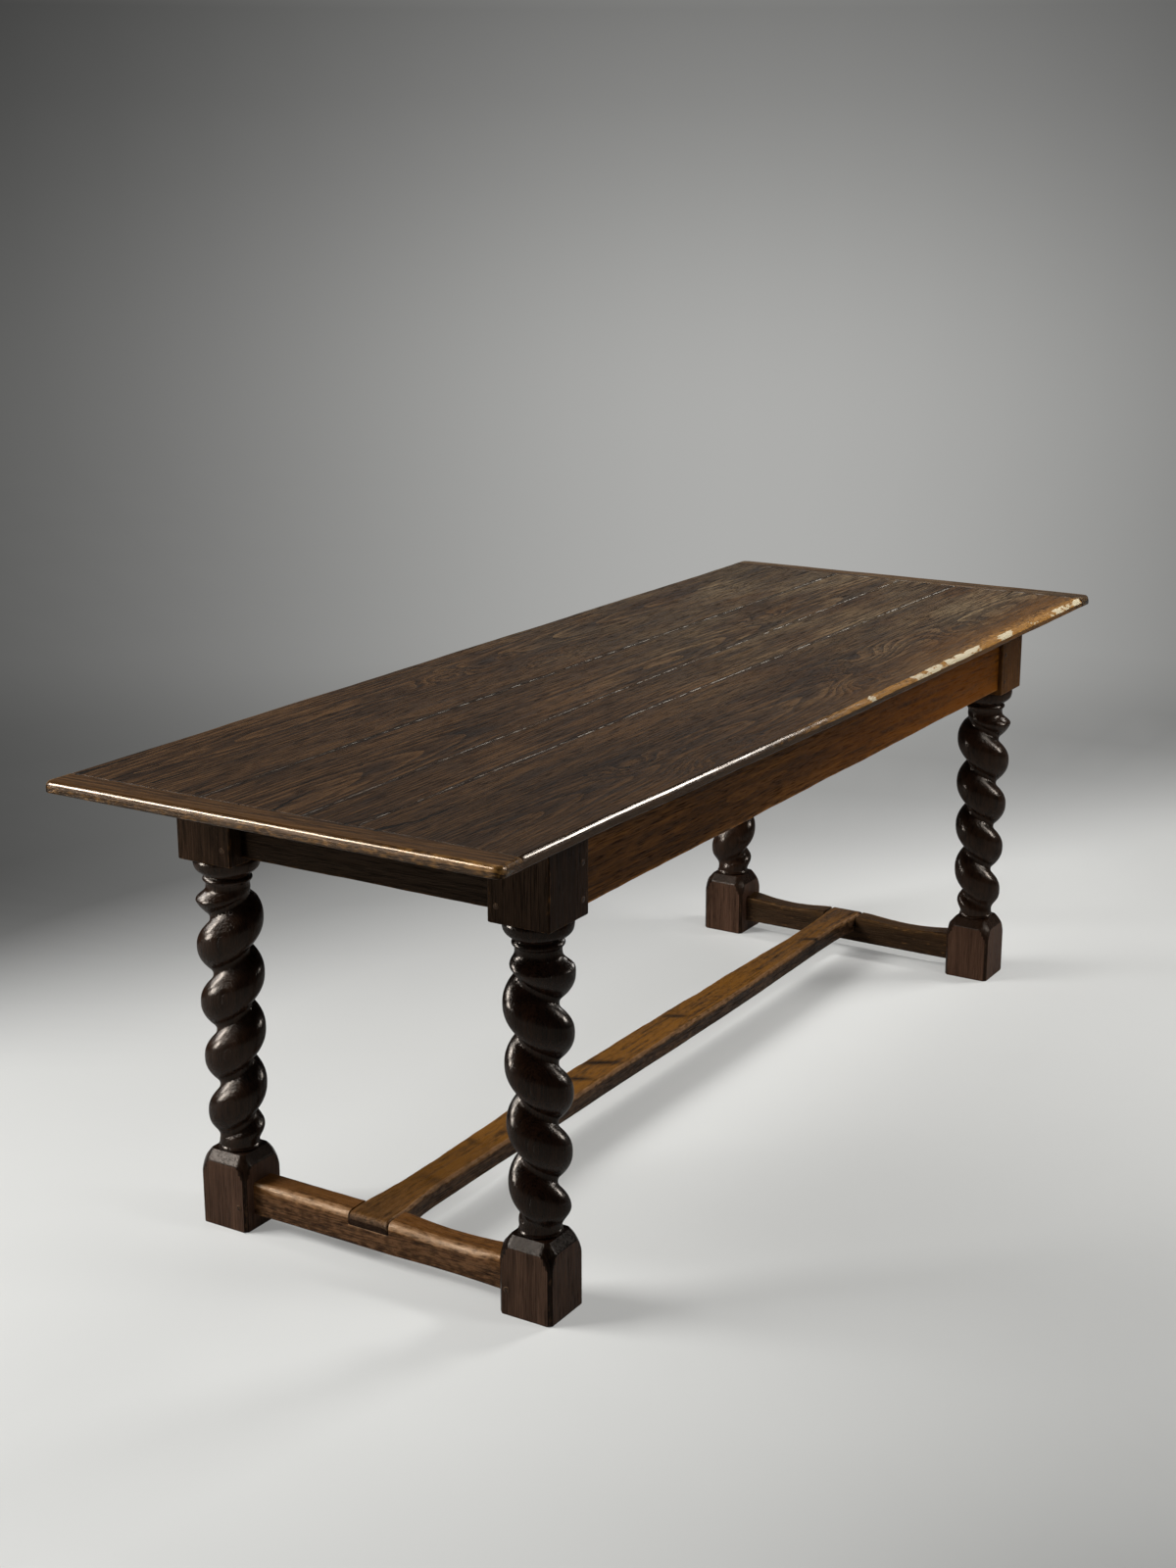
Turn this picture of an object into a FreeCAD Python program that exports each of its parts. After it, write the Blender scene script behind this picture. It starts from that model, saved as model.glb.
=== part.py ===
"""Refectory table in oak: a planked top with breadboard ends on four barley-twist legs.

Millimetres, +Z up. X runs along the table and Y across it. The origin is on
the floor under the middle of the top.
"""
import FreeCAD, Part
import math
import os
import re
import Sketcher

# Driving sizes, in millimetres and degrees
SIZES = {
    # Overall
    "table_height": 760,
    "top_length": 2150,
    "top_width": 800,
    "top_thickness": 18,
    "end_overhang": 202,
    "side_overhang": 68,
    # Boards of the top, planed in proportion to fit its width, and the breadboard ends across them
    "front_board_width": 277,
    "second_board_width": 102,
    "third_board_width": 170,
    "back_board_width": 251,
    "breadboard_width": 54,
    "end_tongue_length": 22,
    "end_tongue_thickness": 6,
    "end_groove_stop": 25,
    "groove_clearance": 0.5,
    "loose_tongue_width": 24,
    "loose_tongue_thickness": 6,
    "loose_tongue_stop": 30,
    "top_edge_round": 8,
    "lower_edge_round": 2.5,
    "corner_round": 13,
    "breadboard_peg_diameter": 8,
    "breadboard_peg_length": 14,
    # Legs, from the head block down to the foot
    "block_size": 102,
    "block_height": 142,
    "collar_radius": 51,
    "collar_rim_height": 6,
    "collar_height": 38,
    "collar_foot_radius": 37,
    "collar_round": 42,
    "quirk_radius": 33.5,
    "quirk_height": 3,
    "ring_radius": 36.5,
    "ring_height": 8,
    "twist_neck_radius": 34,
    "twist_top_radius": 41.8,
    "twist_foot_radius": 33.5,
    "foot_neck_radius": 31,
    "twist_offset": 11.2,
    "twist_pitch": 91,
    "twist_fade": 34,
    "core_radius": 20,
    "foot_ring_radius": 32,
    "foot_ring_height": 8,
    "foot_size": 90,
    "foot_height": 131,
    "shoulder_rim_radius": 40,
    "shoulder_rim_drop": 5,
    "shoulder_corner_drop": 46,
    "shoulder_round": 50,
    "foot_arris_cut": 1.6,
    "foot_bevel_drop": 24,
    "foot_bevel_radius": 33,
    # Azimuth of the twist's swell just under the collar, leg by leg
    "twist_start_front_left": 180,
    "twist_start_front_right": 258,
    "twist_start_back_left": 145,
    "twist_start_back_right": 149,
    # Rails under the top
    "rail_depth": 132,
    "side_rail_thickness": 28,
    "side_rail_setback": 8,
    "end_rail_thickness": 26,
    "end_rail_setback": 27,
    "rail_tenon_thickness": 10,
    "rail_tenon_length": 45,
    "rail_tenon_lift": 6,
    "rail_tenon_haunch": 30,
    "mortise_clearance": 1,
    "rail_peg_diameter": 9.5,
    "rail_peg_edge": 15,
    "rail_peg_low": 16,
    "rail_peg_high": 70,
    "peg_bite": 12,
    "peg_clearance": 0.1,
    # Stretchers near the floor
    "stretcher_lift": 25,
    "stretcher_height": 54,
    "end_stretcher_thickness": 46,
    "end_stretcher_setback": 20,
    "end_stretcher_round": 11,
    "wear_depth": 5,
    "wear_margin": 6,
    "stretcher_tenon_thickness": 16,
    "stretcher_tenon_length": 40,
    "stretcher_tenon_lift": 8,
    "stretcher_tenon_height": 38,
    "stretcher_peg_diameter": 10,
    "stretcher_peg_edge": 14,
    "stretcher_peg_lift": 16,
    "long_stretcher_width": 68,
    "long_stretcher_thickness": 33,
    "long_stretcher_shift": 14,
    "long_stretcher_round": 4,
    "lap_width": 76,
    "lap_thickness": 22,
    "lap_peg_diameter": 9.5,
    "lap_peg_bite": 14,
    # Buttons that hold the top down on the rails
    "button_length": 40,
    "button_width": 32,
    "button_thickness": 18,
    "button_gap": 0.5,
    "button_tongue_length": 9,
    "button_tongue_thickness": 9,
    "button_spacing": 500,
    "slot_clearance": 1,
    "screw_diameter": 4,
    "screw_bite": 9,
    "screw_head_diameter": 8,
    "screw_head_height": 2.5,
}

# Sizes that follow from the ones above
DERIVED = {
    # Levels and places of the main pieces
    "under_top": "table_height - top_thickness",
    "board_length": "top_length - 2 * breadboard_width",
    "front_pair_width": "front_board_width + second_board_width",
    "back_pair_width": "third_board_width + back_board_width",
    "board_fit": "top_width / (front_pair_width + back_pair_width)",
    "front_span": "front_board_width * board_fit",
    "second_span": "second_board_width * board_fit",
    "third_span": "third_board_width * board_fit",
    "back_span": "back_board_width * board_fit",
    "front_joint_y": "front_span - top_width / 2",
    "middle_joint_y": "front_joint_y + second_span",
    "back_joint_y": "middle_joint_y + third_span",
    "front_board_y": "front_joint_y - front_span / 2",
    "second_board_y": "middle_joint_y - second_span / 2",
    "third_board_y": "back_joint_y - third_span / 2",
    "back_board_y": "back_joint_y + back_span / 2",
    "end_tongue_x": "(board_length + end_tongue_length) / 2",
    "end_tongue_floor": "(top_thickness - end_tongue_thickness) / 2",
    "loose_tongue_length": "board_length - 2 * loose_tongue_stop",
    "loose_tongue_floor": "(top_thickness - loose_tongue_thickness) / 2",
    "leg_x": "top_length / 2 - end_overhang - block_size / 2",
    "leg_y": "top_width / 2 - side_overhang - block_size / 2",
    # Heights and radii of the turning
    "block_floor": "under_top - block_height",
    "collar_rim_z": "block_floor - collar_rim_height",
    "collar_foot_z": "block_floor - collar_height",
    "ring_top": "collar_foot_z - quirk_height",
    "twist_top": "ring_top - ring_height",
    "twist_floor": "foot_height + foot_ring_height",
    "shoulder_rim_z": "foot_height - shoulder_rim_drop",
    "shoulder_corner_z": "foot_height - shoulder_corner_drop",
    "foot_turn_radius": "foot_size / 2 * sqrt(2) - foot_arris_cut",
    "foot_half": "foot_size / 2",
    "foot_bevel_z": "foot_height - foot_bevel_drop",
    # Rails
    "rail_floor": "under_top - rail_depth",
    "side_rail_length": "2 * leg_x - block_size",
    "side_rail_y": "leg_y + block_size / 2 - side_rail_setback - side_rail_thickness / 2",
    "side_rail_inner_y": "side_rail_y - side_rail_thickness / 2",
    "end_rail_length": "2 * leg_y - block_size",
    "end_rail_x": "leg_x + block_size / 2 - end_rail_setback - end_rail_thickness / 2",
    "end_rail_inner_x": "end_rail_x - end_rail_thickness / 2",
    "rail_tenon_height": "rail_depth - rail_tenon_lift - rail_tenon_haunch",
    "rail_mortise_depth": "rail_tenon_length + mortise_clearance",
    "side_peg_length": "side_rail_setback + (side_rail_thickness + rail_tenon_thickness) / 2 + peg_bite",
    "end_peg_length": "end_rail_setback + (end_rail_thickness + rail_tenon_thickness) / 2 + peg_bite",
    # Stretchers
    "end_stretcher_x": "leg_x + foot_size / 2 - end_stretcher_setback - end_stretcher_thickness / 2",
    "end_stretcher_length": "2 * leg_y - foot_size",
    "stretcher_top": "stretcher_lift + stretcher_height",
    "stretcher_mortise_depth": "stretcher_tenon_length + mortise_clearance",
    "stretcher_peg_length":
        "end_stretcher_setback + (end_stretcher_thickness + stretcher_tenon_thickness) / 2 + peg_bite",
    "long_stretcher_length": "2 * end_stretcher_x - end_stretcher_thickness",
    "lap_floor": "stretcher_height - lap_thickness",
    "lap_peg_length": "lap_floor + lap_peg_bite",
    "front_wear_span": "(end_stretcher_length - lap_width) / 2 + long_stretcher_shift - 2 * wear_margin",
    "front_wear_y": "long_stretcher_shift / 2 - (end_stretcher_length + lap_width) / 4",
    "front_wear_radius": "(front_wear_span ^ 2 / 4 + wear_depth ^ 2) / (2 * wear_depth)",
    "back_wear_span": "(end_stretcher_length - lap_width) / 2 - long_stretcher_shift - 2 * wear_margin",
    "back_wear_y": "long_stretcher_shift / 2 + (end_stretcher_length + lap_width) / 4",
    "back_wear_radius": "(back_wear_span ^ 2 / 4 + wear_depth ^ 2) / (2 * wear_depth)",
    # Top fixings
    "button_floor": "under_top - button_thickness",
    "button_centre": "button_gap + button_length / 2",
    "screw_length": "button_thickness + screw_bite",
    "side_screw_y": "side_rail_inner_y - button_centre",
}

# Each leg's side of the table: -1 is left in X and front in Y
LEGS = {
    "front_left": (-1, -1),
    "front_right": (1, -1),
    "back_left": (-1, 1),
    "back_right": (1, 1),
}
SIDES = {"front": -1, "back": 1}
ENDS = {"left": -1, "right": 1}
# Boards from front to back, with the side on which each has a long edge of the top
BOARDS = {"front": -1, "second": 0, "third": 0, "back": 1}
# Sides of the lap on which feet have worn each end stretcher hollow
WORN_SIDES = {"left": ("front",), "right": ("front", "back")}
# Places of the buttons along a side rail, in steps of their spacing
BUTTON_STEPS = {"left": -1, "middle": 0, "right": 1}
SECTIONS_PER_TURN = 8
BEVEL_COUNT = 4
SAME_PLACE = 0.001
ALONG_X = FreeCAD.Rotation(FreeCAD.Vector(0, 1, 0), 90)
ALONG_Y = FreeCAD.Rotation(FreeCAD.Vector(1, 0, 0), -90)
UPRIGHT = FreeCAD.Rotation()

doc = FreeCAD.newDocument("RefectoryTable")
sheet = doc.addObject("Spreadsheet::Sheet", "Sizes")
finished = []


# The sheet and what it drives

def fill_sheet():
    """Write the driving sizes as numbers and the derived sizes as formulas, each with its alias."""
    rows = [(alias, str(value)) for alias, value in SIZES.items()]
    rows += [(alias, f"={formula}") for alias, formula in DERIVED.items()]
    for row, (alias, content) in enumerate(rows, start=1):
        sheet.set(f"A{row}", alias)
        sheet.set(f"B{row}", content)
        sheet.setAlias(f"B{row}", alias)
    doc.recompute()


def size(alias):
    """Value of one cell of the sheet."""
    return float(sheet.get(alias))


def bind(item, target, formula):
    """Drive one property or constraint of an object by a formula of size names."""
    def on_sheet(match):
        word = match.group(0)
        return f"Sizes.{word}" if word in SIZES or word in DERIVED else word
    item.setExpression(target, re.sub(r"[a-z][a-z_]+", on_sheet, str(formula)))


def place(item, x=0, y=0, z=0, rotation=UPRIGHT):
    """Set an object's rotation and drive its place by formulas."""
    item.Placement = FreeCAD.Placement(FreeCAD.Vector(), rotation)
    for axis, formula in (("x", x), ("y", y), ("z", z)):
        bind(item, f"Placement.Base.{axis}", formula)


def finish(item, label):
    """Name a finished sub-part and keep it for writing."""
    item.Label = label
    finished.append(item)


def inward_start(side, face, length):
    """Lower end of something that runs inward for a length from the face on one side."""
    return f"-({face})" if side < 0 else f"{face} - ({length})"


# Features of a body

def new_body(label, x=0, y=0, z=0, rotation=UPRIGHT):
    """Start a body at its place on the table."""
    body = doc.addObject("PartDesign::Body", label)
    place(body, x, y, z, rotation)
    return body


def new_sketch(body, name, plane_role):
    """Start a sketch on one of the body's own origin planes."""
    sketch = body.newObject("Sketcher::SketchObject", name)
    plane = next(item for item in body.Origin.OriginFeatures if item.Role == plane_role)
    sketch.AttachmentSupport = [(plane, "")]
    sketch.MapMode = "FlatFace"
    return sketch


def constrain(sketch, formula, *arguments):
    """Add a dimension to a sketch and drive it by a formula."""
    index = sketch.addConstraint(Sketcher.Constraint(*arguments))
    name = f"size_{index}"
    sketch.renameConstraint(index, name)
    bind(sketch, f"Constraints.{name}", formula)


def add_rectangle(sketch, length, width):
    """Draw a rectangle centred on the sketch's origin."""
    corners = [FreeCAD.Vector(x, y) for x, y in ((-1, -1), (1, -1), (1, 1), (-1, 1))]
    first = sketch.GeometryCount
    for start, end in zip(corners, corners[1:] + corners[:1]):
        sketch.addGeometry(Part.LineSegment(start, end))
    bottom, right, top, left = range(first, first + len(corners))
    for line, following in ((bottom, right), (right, top), (top, left), (left, bottom)):
        sketch.addConstraint(Sketcher.Constraint("Coincident", line, 2, following, 1))
    for line in (bottom, top):
        sketch.addConstraint(Sketcher.Constraint("Horizontal", line))
    for line in (right, left):
        sketch.addConstraint(Sketcher.Constraint("Vertical", line))
    sketch.addConstraint(Sketcher.Constraint("Symmetric", bottom, 1, right, 2, -1, 1))
    constrain(sketch, length, "DistanceX", bottom, 1, bottom, 2, 2)
    constrain(sketch, width, "DistanceY", right, 1, right, 2, 2)


def block_sketch(body, name, length, width, x, y, floor):
    """Sketch a level rectangle centred on x and y, at the height of its floor."""
    sketch = new_sketch(body, f"{name}_outline", "XY_Plane")
    add_rectangle(sketch, length, width)
    for axis, formula in (("x", x), ("y", y), ("z", floor)):
        bind(sketch, f"AttachmentOffset.Base.{axis}", formula)
    return sketch


def add_block(body, name, length, width, height, x=0, y=0, floor=0):
    """Pad an upright block that stands on its floor, centred on x and y."""
    sketch = block_sketch(body, name, length, width, x, y, floor)
    pad = body.newObject("PartDesign::Pad", name)
    pad.Profile = sketch
    bind(pad, "Length", height)


def cut_block(body, name, length, width, height, x=0, y=0, floor=0, keep=None):
    """Cut an upright block, or only what lies in it outside a kept square."""
    sketch = block_sketch(body, name, length, width, x, y, floor)
    if keep:
        add_rectangle(sketch, keep, keep)
    pocket = body.newObject("PartDesign::Pocket", name)
    pocket.Profile = sketch
    pocket.Reversed = True
    bind(pocket, "Length", height)


def drill(body, name, diameter, depth, x, y, z, rotation=UPRIGHT):
    """Drill a hole for a round piece from its place along the rotated +Z axis."""
    hole = body.newObject("PartDesign::SubtractiveCylinder", name)
    bind(hole, "Radius", f"{diameter} / 2 + peg_clearance")
    bind(hole, "Height", depth)
    place(hole, x, y, z, rotation)


def round_edges(body, name, radius, chosen):
    """Round the edges of the body so far whose middle passes the chosen test."""
    doc.recompute()
    base = body.Tip
    edges = enumerate(base.Shape.Edges, start=1)
    names = [f"Edge{number}" for number, edge in edges if chosen(edge.BoundBox.Center)]
    fillet = body.newObject("PartDesign::Fillet", name)
    fillet.Base = (base, names)
    bind(fillet, "Radius", radius)


def same(value, target):
    """Whether two coordinates are one place."""
    return abs(value - target) < SAME_PLACE


def arc_middle(start, end, radius):
    """Middle of the arc that bulges to the right of the way from start to end."""
    chord = end - start
    rise = radius - math.sqrt(radius ** 2 - chord.Length ** 2 / 4)
    outward = FreeCAD.Vector(chord.y, -chord.x).normalize()
    return (start + end) / 2 + outward * rise


def outline_sketch(body, name, outline):
    """Sketch a closed upright outline from corners (reach, height, radius of the arc after it)."""
    sketch = new_sketch(body, f"{name}_outline", "XZ_Plane")
    corners = [
        FreeCAD.Vector(size(radius) if radius else 0, size(height) if height else 0)
        for radius, height, _ in outline
    ]
    for (_, _, arc), start, end in zip(outline, corners, corners[1:] + corners[:1]):
        if arc:
            curve = Part.Arc(start, arc_middle(start, end, size(arc)), end)
        else:
            curve = Part.LineSegment(start, end)
        sketch.addGeometry(curve)
    for index, (radius, height, arc) in enumerate(outline):
        previous = (index - 1) % len(outline)
        sketch.addConstraint(Sketcher.Constraint("Coincident", previous, 2, index, 1))
        if arc:
            constrain(sketch, arc, "Radius", index, size(arc))
        if radius:
            constrain(sketch, radius, "DistanceX", -1, 1, index, 1, corners[index].x)
        else:
            sketch.addConstraint(Sketcher.Constraint("PointOnObject", index, 1, -2))
        if height:
            constrain(sketch, height, "DistanceY", -1, 1, index, 1, corners[index].y)
        else:
            sketch.addConstraint(Sketcher.Constraint("PointOnObject", index, 1, -1))
    return sketch


def turn(body, name, outline):
    """Turn a solid about the upright axis from its outline."""
    sketch = outline_sketch(body, name, outline)
    revolution = body.newObject("PartDesign::Revolution", name)
    revolution.Profile = sketch
    revolution.ReferenceAxis = (sketch, ["V_Axis"])


# The top

def make_board(name, outer_side):
    """One board of the top, with a tongue on each end and grooves for the loose tongues."""
    width = f"{name}_span"
    body = new_body(f"top_board_{name}", y=f"{name}_board_y", z="under_top")
    add_block(body, "plank", "board_length", width, "top_thickness")
    if outer_side:
        edge_y = outer_side * size(width) / 2
        round_arrises(body, lambda middle: same(middle.y, edge_y))
    stop = "end_groove_stop" if outer_side else "0"
    for end, sign in ENDS.items():
        add_block(
            body, f"tongue_{end}", "end_tongue_length", f"{width} - {stop}", "end_tongue_thickness",
            x=f"{sign} * end_tongue_x", y=f"{-outer_side} * {stop} / 2", floor="end_tongue_floor",
        )
        drill(
            body, f"peg_hole_{end}", "breadboard_peg_diameter", "end_tongue_thickness",
            f"{sign} * end_tongue_x", 0, "end_tongue_floor",
        )
    for side_name, side in SIDES.items():
        if side != outer_side:
            cut_block(
                body, f"groove_{side_name}", "loose_tongue_length + 2 * groove_clearance",
                "loose_tongue_width + 2 * groove_clearance", "loose_tongue_thickness",
                y=f"{side} * {width} / 2", floor="loose_tongue_floor",
            )
    for number, (x, y) in enumerate(screw_spots(name)):
        drill(body, f"pilot_hole_{number}", "screw_diameter", "screw_bite", x, f"{y} - {name}_board_y", 0)
    finish(body, f"top_board_{name}")


def round_arrises(body, on_edge):
    """Round the upper and lower arris of a plank's outer edges, the upper one more."""
    for name, radius, level in (
        ("upper_arris", "top_edge_round", size("top_thickness")),
        ("lower_arris", "lower_edge_round", 0),
    ):
        round_edges(body, name, radius, lambda middle: same(middle.z, level) and on_edge(middle))


def make_breadboard(end, sign):
    """The cross piece at one end of the top, grooved for the tongues of the boards."""
    body = new_body(f"breadboard_{end}", x=f"{sign} * (top_length - breadboard_width) / 2", z="under_top")
    add_block(body, "plank", "breadboard_width", "top_width", "top_thickness")
    outer_x = sign * size("breadboard_width") / 2
    half_thickness = size("top_thickness") / 2
    round_edges(
        body, "plan_corners", "corner_round",
        lambda middle: same(middle.x, outer_x) and same(middle.z, half_thickness),
    )
    round_arrises(body, lambda middle: not same(middle.x, -outer_x))
    depth = "(end_tongue_length + groove_clearance)"
    cut_block(
        body, "groove", depth, "top_width - 2 * end_groove_stop + 2 * groove_clearance",
        "end_tongue_thickness", x=f"{-sign} * (breadboard_width - {depth}) / 2", floor="end_tongue_floor",
    )
    for board in BOARDS:
        drill(
            body, f"peg_hole_{board}", "breadboard_peg_diameter", "breadboard_peg_length",
            f"{-sign} * (breadboard_width - end_tongue_length) / 2", f"{board}_board_y", 0,
        )
    finish(body, f"breadboard_{end}")


def make_loose_tongue(joint):
    """A strip in the joint between two boards, half in each."""
    tongue = doc.addObject("Part::Box", f"loose_tongue_{joint}")
    bind(tongue, "Length", "loose_tongue_length")
    bind(tongue, "Width", "loose_tongue_width")
    bind(tongue, "Height", "loose_tongue_thickness")
    place(
        tongue, "-loose_tongue_length / 2", f"{joint}_joint_y - loose_tongue_width / 2",
        "under_top + loose_tongue_floor",
    )
    finish(tongue, f"loose_tongue_{joint}")


# Legs

def between(low, high, share):
    """Size at a share of the way from one size to another."""
    return size(low) + (size(high) - size(low)) * share


def twist_solid(start, hand):
    """The barley twist: level circles off the leg's axis, carried round it and tapering to the foot."""
    floor = size("twist_floor")
    length = size("twist_top") - floor
    pitch = size("twist_pitch")
    steps = math.ceil(length / pitch * SECTIONS_PER_TURN)
    sections = []
    for step in range(steps + 1):
        share = step / steps
        height = length * share
        near_end = min(1, min(height, length - height) / size("twist_fade"))
        swell = near_end * near_end * (3 - 2 * near_end)
        angle = math.radians(start) + hand * math.tau * (length - height) / pitch
        offset = size("twist_offset") * swell
        centre = FreeCAD.Vector(offset * math.cos(angle), offset * math.sin(angle), floor + height)
        neck = between("foot_neck_radius", "twist_neck_radius", share)
        full = between("twist_foot_radius", "twist_top_radius", share)
        radius = neck + (full - neck) * swell
        sections.append(Part.Wire(Part.Circle(centre, FreeCAD.Vector(0, 0, 1), radius).toShape()))
    return Part.makeLoft(sections, True)


def make_leg(name, side_x, side_y):
    """One leg with its mortises: head block, turned collar, twist and square foot."""
    body = new_body(f"turning_{name}", x=f"{side_x} * leg_x", y=f"{side_y} * leg_y")
    turn(body, "turned_form", (
        (None, None, None),
        ("foot_turn_radius", None, None),
        ("foot_turn_radius", "shoulder_corner_z", "shoulder_round"),
        ("shoulder_rim_radius", "shoulder_rim_z", None),
        ("foot_ring_radius", "foot_height", None),
        ("foot_ring_radius", "twist_floor", None),
        ("core_radius", "twist_floor", None),
        ("core_radius", "twist_top", None),
        ("ring_radius", "twist_top", None),
        ("ring_radius", "ring_top", None),
        ("quirk_radius", "ring_top", None),
        ("quirk_radius", "collar_foot_z", None),
        ("collar_foot_radius", "collar_foot_z", "collar_round"),
        ("collar_radius", "collar_rim_z", None),
        ("collar_radius", "block_floor", None),
        (None, "block_floor", None),
    ))
    around_foot = "3 * foot_turn_radius"
    cut_block(body, "square_foot", around_foot, around_foot, "foot_height", keep="foot_size")
    bevel_foot(body)
    add_block(body, "head_block", "block_size", "block_size", "block_height", floor="block_floor")
    cut_leg_joints(body, side_x, side_y)
    twist = doc.addObject("Part::Feature", f"twist_{name}")
    twist.Shape = twist_solid(size(f"twist_start_{name}"), -side_y)
    place(twist, f"{side_x} * leg_x", f"{side_y} * leg_y")
    leg = doc.addObject("Part::MultiFuse", f"leg_{name}")
    leg.Shapes = [body, twist]
    finish(leg, f"leg_{name}")


def bevel_foot(body):
    """Bevel the upper edge of each face of the square foot towards its neck."""
    bevel = body.newObject("PartDesign::Pocket", "foot_bevel")
    bevel.Profile = outline_sketch(body, "foot_bevel", (
        ("foot_half", "foot_bevel_z", None),
        ("foot_size", "foot_bevel_z", None),
        ("foot_size", "foot_height", None),
        ("foot_bevel_radius", "foot_height", None),
    ))
    bevel.SideType = "Symmetric"
    bind(bevel, "Length", "2 * foot_size")
    bevels = body.newObject("PartDesign::PolarPattern", "foot_bevels")
    bevels.Originals = [bevel]
    bevels.Axis = (bevel.Profile[0], ["V_Axis"])
    bevels.Occurrences = BEVEL_COUNT
    body.Tip = bevels


def cut_leg_joints(body, side_x, side_y):
    """Cut a leg's mortises for two rails and a stretcher, and the holes for their pegs."""
    rail_mortise = {"height": "rail_tenon_height", "floor": "rail_floor + rail_tenon_lift"}
    cut_block(
        body, "side_rail_mortise", "rail_mortise_depth", "rail_tenon_thickness",
        x=f"{-side_x} * (block_size - rail_mortise_depth) / 2",
        y=f"{side_y} * (side_rail_y - leg_y)", **rail_mortise,
    )
    cut_block(
        body, "end_rail_mortise", "rail_tenon_thickness", "rail_mortise_depth",
        x=f"{side_x} * (end_rail_x - leg_x)",
        y=f"{-side_y} * (block_size - rail_mortise_depth) / 2", **rail_mortise,
    )
    cut_block(
        body, "stretcher_mortise", "stretcher_tenon_thickness", "stretcher_mortise_depth",
        "stretcher_tenon_height", x=f"{side_x} * (end_stretcher_x - leg_x)",
        y=f"{-side_y} * (foot_size - stretcher_mortise_depth) / 2",
        floor="stretcher_lift + stretcher_tenon_lift",
    )
    for level in ("low", "high"):
        height = f"rail_floor + rail_peg_{level}"
        drill(
            body, f"side_peg_hole_{level}", "rail_peg_diameter", "side_peg_length",
            f"{-side_x} * (block_size / 2 - rail_peg_edge)",
            inward_start(side_y, "block_size / 2", "side_peg_length"), height, ALONG_Y,
        )
        drill(
            body, f"end_peg_hole_{level}", "rail_peg_diameter", "end_peg_length",
            inward_start(side_x, "block_size / 2", "end_peg_length"),
            f"{-side_y} * (block_size / 2 - rail_peg_edge)", height, ALONG_X,
        )
    drill(
        body, "stretcher_peg_hole", "stretcher_peg_diameter", "stretcher_peg_length",
        inward_start(side_x, "foot_size / 2", "stretcher_peg_length"),
        f"{-side_y} * (foot_size / 2 - stretcher_peg_edge)", "stretcher_lift + stretcher_peg_lift", ALONG_X,
    )


# Rails

def make_side_rail(name, side):
    """A long rail under one side of the top, tenoned at both ends and slotted for its buttons."""
    body = new_body(f"side_rail_{name}", y=f"{side} * side_rail_y", z="rail_floor")
    add_block(body, "rail", "side_rail_length", "side_rail_thickness", "rail_depth")
    for end, sign in ENDS.items():
        add_block(
            body, f"tenon_{end}", "rail_tenon_length", "rail_tenon_thickness", "rail_tenon_height",
            x=f"{sign} * (side_rail_length + rail_tenon_length) / 2", floor="rail_tenon_lift",
        )
        for level in ("low", "high"):
            drill(
                body, f"peg_hole_{end}_{level}", "rail_peg_diameter", "rail_tenon_thickness",
                f"{sign} * (side_rail_length / 2 + rail_peg_edge)", "-rail_tenon_thickness / 2",
                f"rail_peg_{level}", ALONG_Y,
            )
    depth = "(button_tongue_length + slot_clearance)"
    for place_name, step in BUTTON_STEPS.items():
        cut_block(
            body, f"slot_{place_name}", "button_width + slot_clearance", depth,
            "button_tongue_thickness + slot_clearance", x=f"{step} * button_spacing",
            y=f"{-side} * (side_rail_thickness - {depth}) / 2",
            floor="rail_depth - button_thickness - slot_clearance",
        )
    finish(body, f"side_rail_{name}")


def make_end_rail(name, side):
    """A short rail under one end of the top, tenoned at both ends and slotted for its button."""
    body = new_body(f"end_rail_{name}", x=f"{side} * end_rail_x", z="rail_floor")
    add_block(body, "rail", "end_rail_thickness", "end_rail_length", "rail_depth")
    for end, sign in SIDES.items():
        add_block(
            body, f"tenon_{end}", "rail_tenon_thickness", "rail_tenon_length", "rail_tenon_height",
            y=f"{sign} * (end_rail_length + rail_tenon_length) / 2", floor="rail_tenon_lift",
        )
        for level in ("low", "high"):
            drill(
                body, f"peg_hole_{end}_{level}", "rail_peg_diameter", "rail_tenon_thickness",
                "-rail_tenon_thickness / 2", f"{sign} * (end_rail_length / 2 + rail_peg_edge)",
                f"rail_peg_{level}", ALONG_X,
            )
    depth = "(button_tongue_length + slot_clearance)"
    cut_block(
        body, "slot", depth, "button_width + slot_clearance", "button_tongue_thickness + slot_clearance",
        x=f"{-side} * (end_rail_thickness - {depth}) / 2", y="third_board_y",
        floor="rail_depth - button_thickness - slot_clearance",
    )
    finish(body, f"end_rail_{name}")


# Stretchers

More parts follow.
